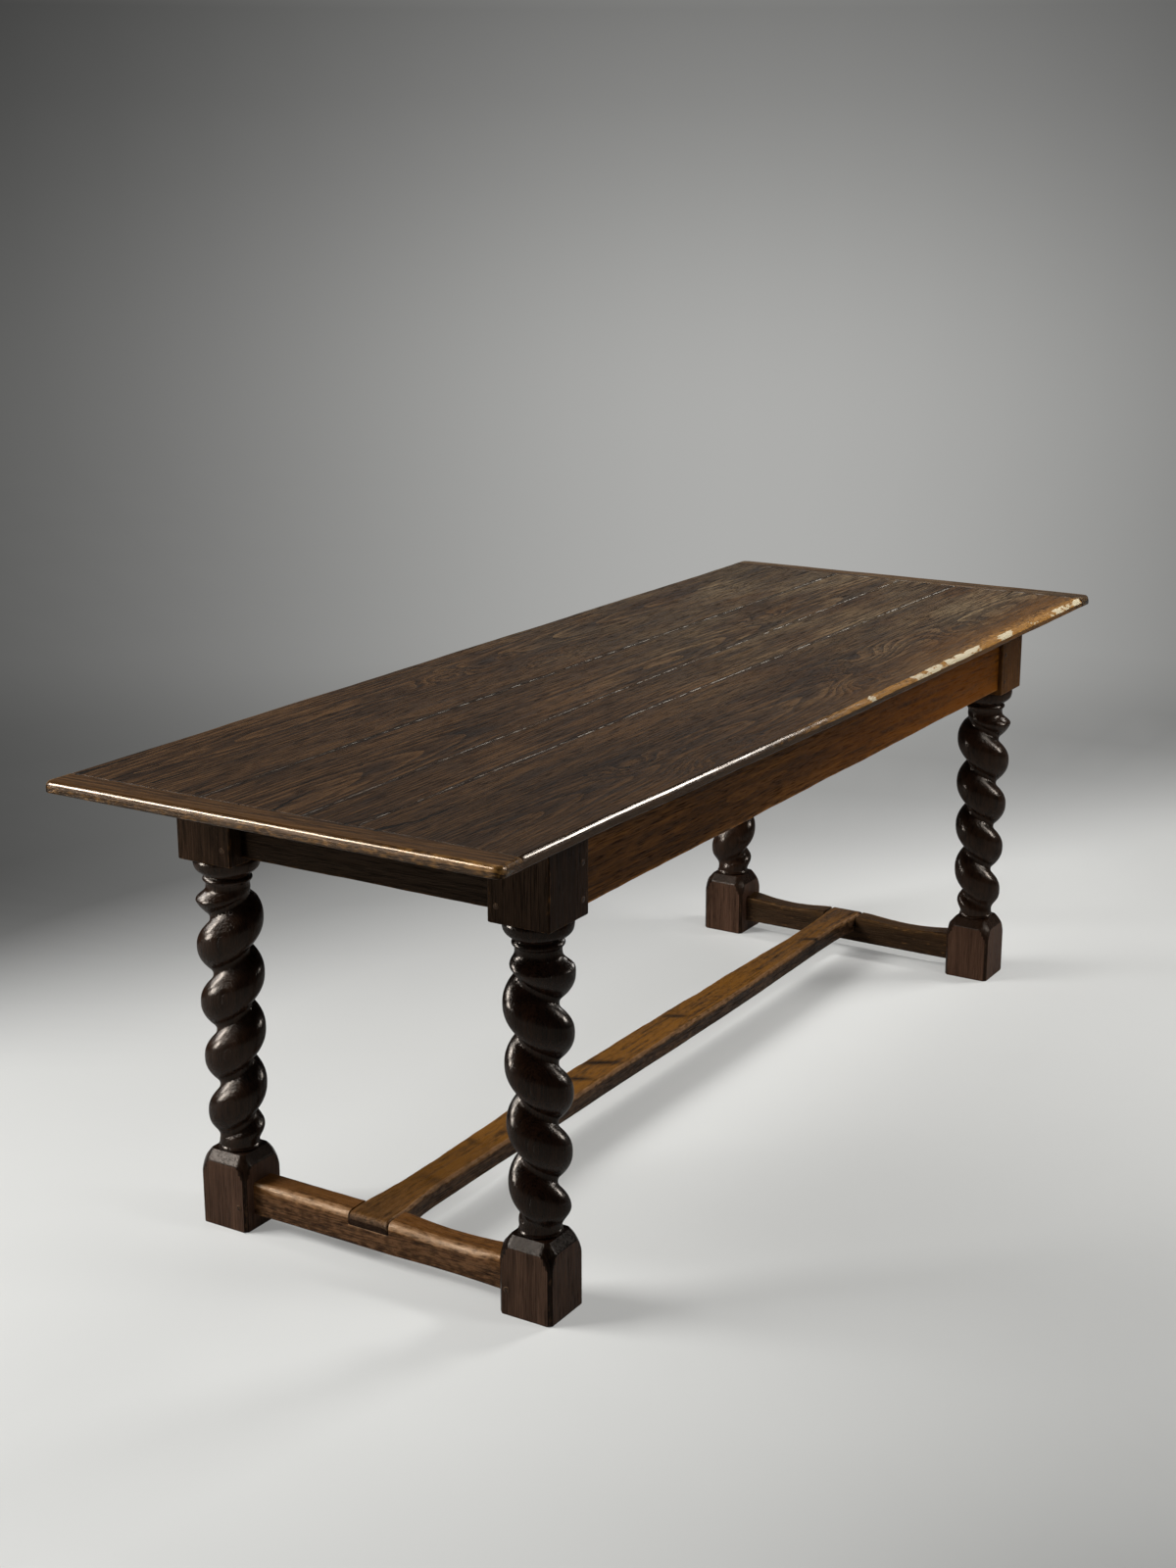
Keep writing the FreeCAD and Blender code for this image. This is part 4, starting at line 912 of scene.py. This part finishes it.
def make_side_rail(name, side):
    """Long rail under the top, between two head blocks."""
    reach = LEG_X - BLOCK_HALF + TUCK
    x = along(-reach, reach, 12)
    outer = SIDE_RAIL_FACE - rough_cut(x, 0.4, 21 + side, 600)
    floor = RAIL_FLOOR + rough_cut(x, 0.5, 23 + side, 450)
    radii = (RAIL_ROUND, 2.4 + 0.8 * wave(x, 25, 200), RAIL_TOP_ROUND, RAIL_TOP_ROUND)
    inner = SIDE_RAIL_FACE - SIDE_RAIL_THICK
    u, v, corner = section(inner, outer, floor, UNDER_TOP, radii, RAIL_ACROSS, RAIL_UPRIGHT)
    layers = {
        "wear": by_corner(corner, {1: 0.6}),
        # Painted light warming the rail towards the right
        "tone_and_light": RAIL_PAINTED_LIGHT[side] * smooth(*RAIL_PAINTED_LIGHT_X, x)[:, None],
    }
    make_bar(
        f"side_rail_{name}", rings_along("x", x, side * u, v), ("rail",), layers,
        ("x", 60 + side, (60, 20), 0.012))


def make_end_rail(name, side):
    """Short rail under the end of the top, in a near-black finish that is painted shade."""
    reach = LEG_Y - BLOCK_HALF + TUCK
    y = along(-reach, reach, 10)
    outer = END_RAIL_FACE - rough_cut(y, 0.3, 33 + side, 300)
    floor = RAIL_FLOOR + rough_cut(y, 0.4, 31 + side, 300)
    radii = (RAIL_ROUND, 2.2, RAIL_TOP_ROUND, RAIL_TOP_ROUND)
    inner = END_RAIL_FACE - END_RAIL_THICK
    u, v, corner = section(inner, outer, floor, UNDER_TOP, radii, RAIL_ACROSS, RAIL_UPRIGHT)
    make_bar(
        f"end_rail_{name}", rings_along("y", y, side * u, v), ("end_rail",),
        {"wear": by_corner(corner, {1: 0.5})}, ("y", 64 + side, (50, 15), 0.012))


def dip(y, middle, half, depth):
    """A worn hollow across the top of a stretcher."""
    return depth * np.clip(1 - ((np.asarray(y) - middle) / half) ** 2, 0, None) ** 1.3


# End stretchers: hollows by side as (middle, half length, depth), places of their points, and looks
HOLLOWS = {-1: ((-130, 95, 5.0),), 1: ((-130, 95, 5.0), (140, 85, 5.0))}
END_ACROSS = (0.1, 0.3, 0.5, 0.7, 0.9)
END_UPRIGHT = (0.1, 0.35, 0.6, 0.9)
END_WEAR = {1: 0.3, 2: 1.0, 3: 0.5}
END_FINISHES = {-1: ("end_stretcher", "arris"), 1: ("far_stretcher", "far_stretcher")}
NOTCH_ROUND = 0.6
ARRIS_RUN = (0, 55)
WARM_LEVELS = (60, 76)
SCUFF_TOP = 66


def make_end_stretcher(name, side):
    """Stretcher between two feet, worn hollow by resting shoes and notched for the long stretcher."""
    reach = LEG_Y - FOOT_HALF + TUCK
    y = along(-reach, reach, 5, (LAP_LOW, LAP_LOW, LAP_HIGH, LAP_HIGH))
    notched = np.zeros(len(y), bool)
    notched[np.flatnonzero(y == LAP_LOW)[-1]:np.flatnonzero(y == LAP_HIGH)[0] + 1] = True
    hollow = sum(dip(y, *values) for values in HOLLOWS[side])
    top = np.where(notched, LAP_FLOOR, STRETCHER_TOP - hollow - rough_cut(y, 0.3, 41 + side, 200))
    outer = STRETCHER_OUTER - rough_cut(y, 0.3, 43 + side, 240) - np.where(notched, 0, 0.5 * hollow)
    arris = np.where(notched, NOTCH_ROUND, 4 + 7 * smooth(*ARRIS_RUN, reach - np.abs(y)))
    radii = (1.5, 3.0, arris, np.where(notched, NOTCH_ROUND, 4.0))
    u, v, corner = section(
        STRETCHER_INNER, outer, STRETCHER_FLOOR + TINY, top, radii, END_ACROSS, END_UPRIGHT)
    wear = by_corner(corner, END_WEAR)
    wear = np.maximum(wear * 0.6, 0.2 * (v < SCUFF_TOP)) if side > 0 else wear * 0.55
    layers = {"wear": wear, "tone_and_light": 0.6 * smooth(*WARM_LEVELS, v), "finish": (corner == 2)[None, :]}
    make_bar(
        f"end_stretcher_{name}", rings_along("y", y, side * u, v), END_FINISHES[side],
        layers, ("y", 70 + side, (30, 40), 0.015))


# Scorched marks across the long stretcher as (x, y, half length, half width, slant, share), and their level
BURNS = (
    (-150, 24, 12, 30, -0.7, 1.0), (-232, 20, 9, 22, -0.5, 0.95), (112, 22, 10, 22, -0.6, 0.9),
    (630, -4, 9, 20, -0.6, 0.95), (-540, 34, 7, 14, 0.3, 0.6), (-690, 8, 10, 26, 0.2, 0.4),
)
BURN_LEVEL = 70
# Long stretcher: half its width at the ends, changes to it as (change, range from an end), and a thin end
LONG_HALF = 36.5
LONG_WIDTHS = ((-6.5, 30, 130), (4.5, 200, 500))
LONG_THIN = 3.0
LONG_THIN_X = (0, 500)
# Its middle line, with a bow as (depth, middle, half length), its rounded ends, and shares of its points
LONG_Y = 14
LONG_BOW = (6, -250, 420)
LONG_END_ROUND = 11
LONG_END_STEPS = (1, 3, 6, 11)
LONG_ACROSS = (0.06, 0.2, 0.4, 0.6, 0.8, 0.94)
LONG_UPRIGHT = (0.2, 0.5, 0.8)
LONG_WEAR = {2: 0.7, 3: 1.0}
LONG_WEAR_RUN = (4, 30)
LONG_TONE_RUN = (20, 190)
LONG_TONE_LEVELS = (72, 77)


def burn_share(x, y, v):
    """How dark the top of the long stretcher is scorched at its points."""
    total = np.zeros_like(y)
    for middle, across, long, wide, slant, share in BURNS:
        run = x[:, None] - middle - slant * (y - across)
        total += share * np.exp(-(run / long) ** 2 - ((y - across) / wide) ** 4)
    return np.clip(total, 0, 1) * (v > BURN_LEVEL)


def stretcher_half_width(x, end):
    """Half the width of the long stretcher, flared where it is lapped and narrowed just inside."""
    half = LONG_HALF + sum(change * smooth(*run, end) for change, *run in LONG_WIDTHS)
    return half - LONG_THIN * smooth(*LONG_THIN_X, x)


def make_long_stretcher():
    """Long stretcher with thinner laps let into the end stretchers, its upper arrises worn."""
    reach = STRETCHER_OUTER
    ends = [side * (reach - step) for side in (-1, 1) for step in LONG_END_STEPS]
    x = along(-reach, reach, 4, [-LAP_X, -LAP_X, LAP_X, LAP_X, *ends])
    inside = np.zeros(len(x), bool)
    inside[np.flatnonzero(x == -LAP_X)[-1]:np.flatnonzero(x == LAP_X)[0] + 1] = True
    end = reach - np.abs(x)
    bow, bow_x, bow_half = LONG_BOW
    centre = LONG_Y + bow * np.exp(-((x - bow_x) / bow_half) ** 2)
    half = stretcher_half_width(x, end)
    front = centre - half + 0.4 * wave(x, 47, 300)
    back = centre + half - 0.4 * wave(x, 48, 300)
    floor = np.where(inside, LONG_FLOOR, LAP_FLOOR) + TINY
    top = STRETCHER_TOP - rough_cut(x, 0.4, 45, 380) - roll(end, LONG_END_ROUND)
    arris = 4 + 1.2 * wave(x, 46, 160)
    u, v, corner = section(front, back, floor, top, (1.5, 1.5, arris, arris), LONG_ACROSS, LONG_UPRIGHT)
    finish = (corner == 3)[None, :] * np.ones_like(u)
    finish[[0, -1]] = 2
    layers = {
        "wear": 0.6 * by_corner(corner, LONG_WEAR) * smooth(*LONG_WEAR_RUN, end)[:, None],
        "dark_marks_and_shade": burn_share(x, u, v),
        "tone_and_light": smooth(*LONG_TONE_LEVELS, v) * (0.35 + 0.55 * smooth(*LONG_TONE_RUN, end)[:, None]),
        "finish": finish,
    }
    make_bar(
        "long_stretcher", rings_along("x", x, u, v), ("stretcher", "arris", "block"),
        layers, ("x", 80, (25, 50), 0.01))


# Pegs

RAIL_PEG_LEVELS = (626, 680)
RAIL_PEG_IN = 15
RAIL_PEG_RADIUS = 4.75
FOOT_PEG_LEVEL = 41
FOOT_PEG_IN = 14
FOOT_PEG_RADIUS = 5.0
# Rings of a peg as (depth, share of its radius, wear), its uneven outline as (lobes, share), and its tilt
PEG_RINGS = (
    (-0.7, 0.35, 0.2), (-0.65, 0.7, 0.4), (-0.45, 0.9, 0.9), (-0.1, 1.0, 0.5), (2.0, 1.0, 0.0),
    (30, 0.98, 0.0),
)
PEG_LOBES = ((3, 0.05), (5, 0.03))
PEG_TILT = 0.04
PEG_TURNS = np.radians(np.arange(0, 360, 18))


def peg_rings(centre, axis, sign, radius, seed):
    """Rings of one hand-cut peg, from its irregular head inwards along an axis."""
    rng = np.random.default_rng(seed)
    shape = 1
    for lobes, share in PEG_LOBES:
        shape = shape + share * np.cos(lobes * PEG_TURNS + rng.uniform(0, 6))
    tilt = rng.uniform(-PEG_TILT, PEG_TILT, 2)
    rings = []
    for depth, share, _ in PEG_RINGS:
        a = share * radius * shape * np.cos(PEG_TURNS)
        b = share * radius * shape * np.sin(PEG_TURNS)
        inward = -sign * (depth + (depth < 0) * (tilt[0] * a + tilt[1] * b))
        place = {"x": (inward, a, b), "y": (a, inward, b)}[axis]
        rings.append(np.stack(place, -1) + np.asarray(centre))
    return np.stack(rings)


def make_pegs(node, spots, axis, sign, radius):
    """A group of pegs driven into one face of the frame."""
    name = f"{node}_dressed"
    points, faces, wear = [], [], []
    start = 0
    for number, spot in enumerate(spots):
        rings = peg_rings(spot, axis, sign, radius, 90 + 7 * number + len(name))
        own_points, own_faces = skin(rings)
        points.append(own_points)
        faces += [tuple(start + i for i in face) for face in own_faces]
        wear.append(ringed(np.array([worn for _, _, worn in PEG_RINGS])[:, None], rings))
        start += len(own_points)
    points = np.vstack(points)
    grain = grain_of(points, axis, 95 + len(name), (2, 3))
    make_piece(name, points, faces, node, ("peg",), {"wear": np.concatenate(wear)}, grain)


def make_all_pegs():
    """Pegs in the head blocks and in the feet."""
    rail_x, rail_y = (leg - BLOCK_HALF + RAIL_PEG_IN for leg in (LEG_X, LEG_Y))
    foot_y = LEG_Y - FOOT_HALF + FOOT_PEG_IN
    for name, side in SIDES:
        face = side * (LEG_Y + BLOCK_HALF)
        spots = [(x, face, z) for x in (-rail_x, rail_x) for z in RAIL_PEG_LEVELS]
        make_pegs(f"side_rail_pegs_{name}", spots, "y", side, RAIL_PEG_RADIUS)
    for name, side in ENDS:
        face = side * (LEG_X + BLOCK_HALF)
        spots = [(face, y, z) for y in (-rail_y, rail_y) for z in RAIL_PEG_LEVELS]
        make_pegs(f"end_rail_pegs_{name}", spots, "x", side, RAIL_PEG_RADIUS)
        spots = [(side * (LEG_X + FOOT_HALF), y, FOOT_PEG_LEVEL) for y in (-foot_y, foot_y)]
        make_pegs(f"stretcher_pegs_{name}", spots, "x", side, FOOT_PEG_RADIUS)


def dress_nodes():
    """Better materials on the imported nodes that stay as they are."""
    for name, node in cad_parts.items():
        if node.hide_render:
            continue
        points = np.array([v.co for v in node.data.vertices]) / MM
        axis = "x" if "tongue" in name else "y"
        set_layer(node.data, "grain", grain_of(points, axis, len(name), (20, 30)))
        wood = OAK["peg" if "peg" in name else "inner"]
        node.data.materials.clear()
        node.data.materials.append(STEEL if "screw" in name else wood)


# Stage, light and camera, in metres

CAMERA_PLACE = (-3.2836, -1.8801, 1.6103)
CAMERA_YAW = 58.347
CAMERA_PITCH = 15.561
CAMERA_ROLL = -0.107
# Focal length and height of the photograph, in its pixels, and height of the sensor
CAMERA_FOCAL = 2278.7
PHOTO_HEIGHT = 1600
SENSOR_HEIGHT = 36.0


def make_camera():
    """Camera at the photograph's place, turned from looking along +Y."""
    data = bpy.data.cameras.new("camera")
    data.sensor_fit = "VERTICAL"
    data.sensor_height = SENSOR_HEIGHT
    data.lens = CAMERA_FOCAL / PHOTO_HEIGHT * SENSOR_HEIGHT
    data.clip_end = 100
    camera = bpy.data.objects.new("camera", data)
    camera.matrix_world = Matrix.Translation(CAMERA_PLACE)
    for angle, axis in ((-CAMERA_YAW, "Z"), (90 - CAMERA_PITCH, "X"), (CAMERA_ROLL, "Z")):
        camera.matrix_world = camera.matrix_world @ Matrix.Rotation(math.radians(angle), 4, axis)
    bpy.context.scene.collection.objects.link(camera)
    bpy.context.scene.camera = camera


# The studio: a pale floor in a pool of light, and a grey sweep round it, darker to the left and above; the
# falloff of light at the pool's edge and over the sweep is painted
STUDIO_RADII = (0.4, 0.8, 1.2, 1.6, 2.0, 2.4, 2.8, 3.2, 3.6, 4.0, 4.4, 5.0, 6.0, 7.0, 8.0, 9.0)
STUDIO_SWEEP = 1.5
SWEEP_TURNS = np.radians(np.arange(9, 91, 9))
WALL_LEVELS = np.linspace(2.0, 9.0, 15)
STUDIO_SIDES = 120
FLOOR_GREY = 0.74
FLOOR_GLOW = 0.31
POOL_START = 3.7
POOL_SLANT = 0.55
POOL_FADE = 1.9
ROOM_FADE = (3.2, 5.0)
# Painted light on the sweep: glow ahead of the camera, darker upwards and near the floor, and a lighter band
# high up that the top reflects as sheen
SIGHT_RANGE = (0.5, 4.0)
GLOW_SIDE = 0.079
GLOW_WIDTH = 0.25
GLOW_LOW = 0.065
GLOW_HIGH = 0.42
UP_RANGE = (0.0, 2.9)
UP_DARK = 0.55
FOOT_RANGE = (7.5, 6.0)
FOOT_DARK = 0.25
HIGH_RISE = (2.6, 3.8)
HIGH_FALL = (5.4, 4.0)
HIGH_LIGHT = 0.32
# Painted shade on the floor close to the camera: a patch at (ahead, to the right), and a strip
PATCH_PLACE = (2.3, 0.75)
PATCH_SPREAD = 0.75
PATCH_DARK = 0.42
STRIP_RANGE = (2.7, 2.2)
STRIP_DARK = 0.12
# Colours of the paper and its scuffs, with their waves a metre and range
PAPER = ((0.70, 0.70, 0.675, 1.0), (0.75, 0.75, 0.725, 1.0))
PAPER_WAVES = (2.0, 2.0, 2.0)
PAPER_LIGHT = (1.0, 1.0, 0.975, 1.0)
SCUFF = (0.4, 0.4, 0.38, 1.0)
SCUFF_WAVES = (14.0, 3.0, 9.0)
SCUFF_RANGE = (0.68, 0.8)
SCUFF_SHARE = 0.12


def studio_shade(points):
    """Layers of the studio: its grey with painted glow and falloff, how pale the floor is under its painted
    shade, and how far it has become the sweep.
    """
    yaw = math.radians(CAMERA_YAW)
    ahead = np.array([math.sin(yaw), math.cos(yaw), 0.0])
    right = np.array([ahead[1], -ahead[0], 0.0])
    from_camera = points - np.array([*CAMERA_PLACE[:2], 0.0])
    a, b, height = from_camera @ ahead, from_camera @ right, points[:, 2]
    in_sight = smooth(*SIGHT_RANGE, a)
    # Painted light on the sweep: a glow ahead of the camera, darkened upwards and near its foot, with a band
    # high up
    glow = np.exp(-((b / np.maximum(a, 2) - GLOW_SIDE) / GLOW_WIDTH) ** 2) * in_sight
    shade = (GLOW_LOW + (GLOW_HIGH - GLOW_LOW) * glow) * (1 - UP_DARK * smooth(*UP_RANGE, height))
    shade *= 1 - FOOT_DARK * smooth(*FOOT_RANGE, a) * in_sight
    shade += HIGH_LIGHT * smooth(*HIGH_RISE, height) * smooth(*HIGH_FALL, height) * in_sight
    gone = smooth(0, POOL_FADE, a - POOL_START - POOL_SLANT * b)
    round_table = smooth(*ROOM_FADE, np.hypot(points[:, 0], points[:, 1])) * (1 - in_sight)
    gone = np.maximum(gone, round_table)
    patch_a, patch_b = ((way - place) / PATCH_SPREAD for way, place in zip((a, b), PATCH_PLACE))
    # Painted shade on the floor: darker in a patch and a strip near the camera
    pale = 1 - PATCH_DARK * np.exp(-patch_a ** 2 - patch_b ** 2) - STRIP_DARK * smooth(*STRIP_RANGE, a)
    shade = gone * shade + (1 - gone) * FLOOR_GREY * pale
    return {"shade": shade, "pale": pale, "far": np.maximum(gone, FLOOR_GLOW)}


def stage_material():
    """Pale paper with faint scuffs and painted shade near the camera, which turns into the painted grey glow
    of the sweep behind the table.
    """
    material, tree, shader = new_material("studio_paper")
    where = add(tree, "TexCoord").outputs["Object"]
    shade, pale, far = (layer(tree, name) for name in ("shade", "pale", "far"))
    paper = mixed(tree, noise(tree, where, PAPER_WAVES), *PAPER)
    scuffs = ramp(tree, noise(tree, where, SCUFF_WAVES, 6.0, 0.7), *SCUFF_RANGE)
    paper = mixed(tree, calc(tree, "MULTIPLY", scuffs, SCUFF_SHARE), paper, SCUFF)
    # The paper is multiplied by the painted floor shade
    paper = mixed(tree, 1.0, paper, pale, "MULTIPLY")
    faded = ramp(tree, far, FLOOR_GLOW, 1.0)
    tree.links.new(mixed(tree, faded, paper, shade), shader.inputs["Base Color"])
    shader.inputs["Roughness"].default_value = 0.7
    shader.inputs["Specular IOR Level"].default_value = 0.2
    lit = mixed(tree, 1.0, shade, PAPER_LIGHT, "MULTIPLY")
    glow = add(tree, "Emission", {"Color": lit, "Strength": 1.0}).outputs[0]
    path = add(tree, "LightPath").outputs
    seen = calc(tree, "MAXIMUM", path["Is Camera Ray"], path["Is Glossy Ray"])
    seen = calc(tree, "MAXIMUM", seen, path["Is Transmission Ray"])
    surface = add(tree, "MixShader", {0: calc(tree, "MULTIPLY", seen, far), 1: shader.outputs[0], 2: glow})
    tree.links.new(surface.outputs[0], tree.nodes["Material Output"].inputs["Surface"])
    return material


def make_stage():
    """Round floor that sweeps up into a wall all round the table."""
    profile = [(r, 0.0) for r in STUDIO_RADII]
    edge = STUDIO_RADII[-1]
    for turn in SWEEP_TURNS:
        profile.append((edge + STUDIO_SWEEP * math.sin(turn), STUDIO_SWEEP * (1 - math.cos(turn))))
    profile += [(edge + STUDIO_SWEEP, h) for h in WALL_LEVELS]
    turns = np.radians(np.arange(STUDIO_SIDES) * 360 / STUDIO_SIDES)
    points = np.array([(r * math.cos(t), r * math.sin(t), h) for r, h in profile for t in turns])
    faces = [tuple(range(STUDIO_SIDES))]
    for row in range(len(profile) - 1):
        lower, upper = row * STUDIO_SIDES, (row + 1) * STUDIO_SIDES
        for here in range(STUDIO_SIDES):
            there = (here + 1) % STUDIO_SIDES
            faces.append((lower + here, upper + here, upper + there, lower + there))
    mesh = bpy.data.meshes.new("studio")
    mesh.from_pydata(points.tolist(), [], faces)
    for name, values in studio_shade(points).items():
        set_layer(mesh, name, values)
    mesh.polygons.foreach_set("use_smooth", [True] * len(mesh.polygons))
    mesh.materials.append(stage_material())
    studio = bpy.data.objects.new("studio", mesh)
    bpy.context.scene.collection.objects.link(studio)


# Softboxes as (place, aim, size, power, whether it only shows as a highlight on polished wood)
LAMPS = {
    "key": ((-3.4, 4.3, 3.9), (-0.2, 0, 0.3), (3.0, 2.2), 490, False),
    "left_strip": ((-2.0, 1.75, 2.6), (-0.9, 1.75, 0.7), (1.8, 0.55), 170, True),
    "front_box": ((0.0, -2.7, 2.4), (-0.2, 0, 0.4), (0.6, 0.5), 22, False),
    "right_box": ((1.65, -1.25, 2.2), (-0.6, -0.3, 0.6), (0.7, 0.4), 40, False),
    "overhead": ((0.8, 0.6, 3.8), (0.4, 0.2, 0), (2.4, 1.6), 20, False),
    "left_glint": ((-2.68, 1.7, 1.66), (-0.82, 0.0, 0.4), (0.6, 0.8), 140, True),
    "right_glint": ((0.46, -2.7, 1.6), (-0.4, -0.28, 0.4), (0.5, 0.7), 90, True),
    "low_glint": ((-2.7, 1.0, 0.75), (0.82, -0.28, 0.4), (0.5, 0.5), 80, True),
}
AIR_LIGHT = 0.06


def add_lamp(name, place, aim, size, power, gloss_only):
    """One softbox, turned to a point."""
    data = bpy.data.lights.new(name, "AREA")
    data.shape = "RECTANGLE"
    data.size, data.size_y = size
    data.energy = power
    lamp = bpy.data.objects.new(name, data)
    lamp.location = place
    lamp.rotation_euler = (Vector(aim) - Vector(place)).to_track_quat("-Z", "Y").to_euler()
    lamp.visible_diffuse = not gloss_only
    bpy.context.scene.collection.objects.link(lamp)


def make_light():
    """The softboxes, and a low even fill from all round."""
    for name, values in LAMPS.items():
        add_lamp(name, *values)
    world = bpy.data.worlds.new("studio_air")
    world.use_nodes = True
    air = world.node_tree.nodes["Background"].inputs
    air["Color"].default_value = (1, 1, 1, 1)
    air["Strength"].default_value = AIR_LIGHT
    bpy.context.scene.world = world


def main():
    """Make every piece, dress the nodes that stay, and set up the studio."""
    for name, values in BOARDS.items():
        make_board(name, *values)
    for name, side in ENDS:
        make_breadboard(name, side)
        make_end_rail(name, side)
        make_end_stretcher(name, side)
    for name, values in LEGS.items():
        make_leg(name, *values)
    for name, side in SIDES:
        make_side_rail(name, side)
    make_long_stretcher()
    make_all_pegs()
    dress_nodes()
    make_camera()
    make_stage()
    make_light()
    bpy.context.scene.view_settings.view_transform = "Standard"


main()
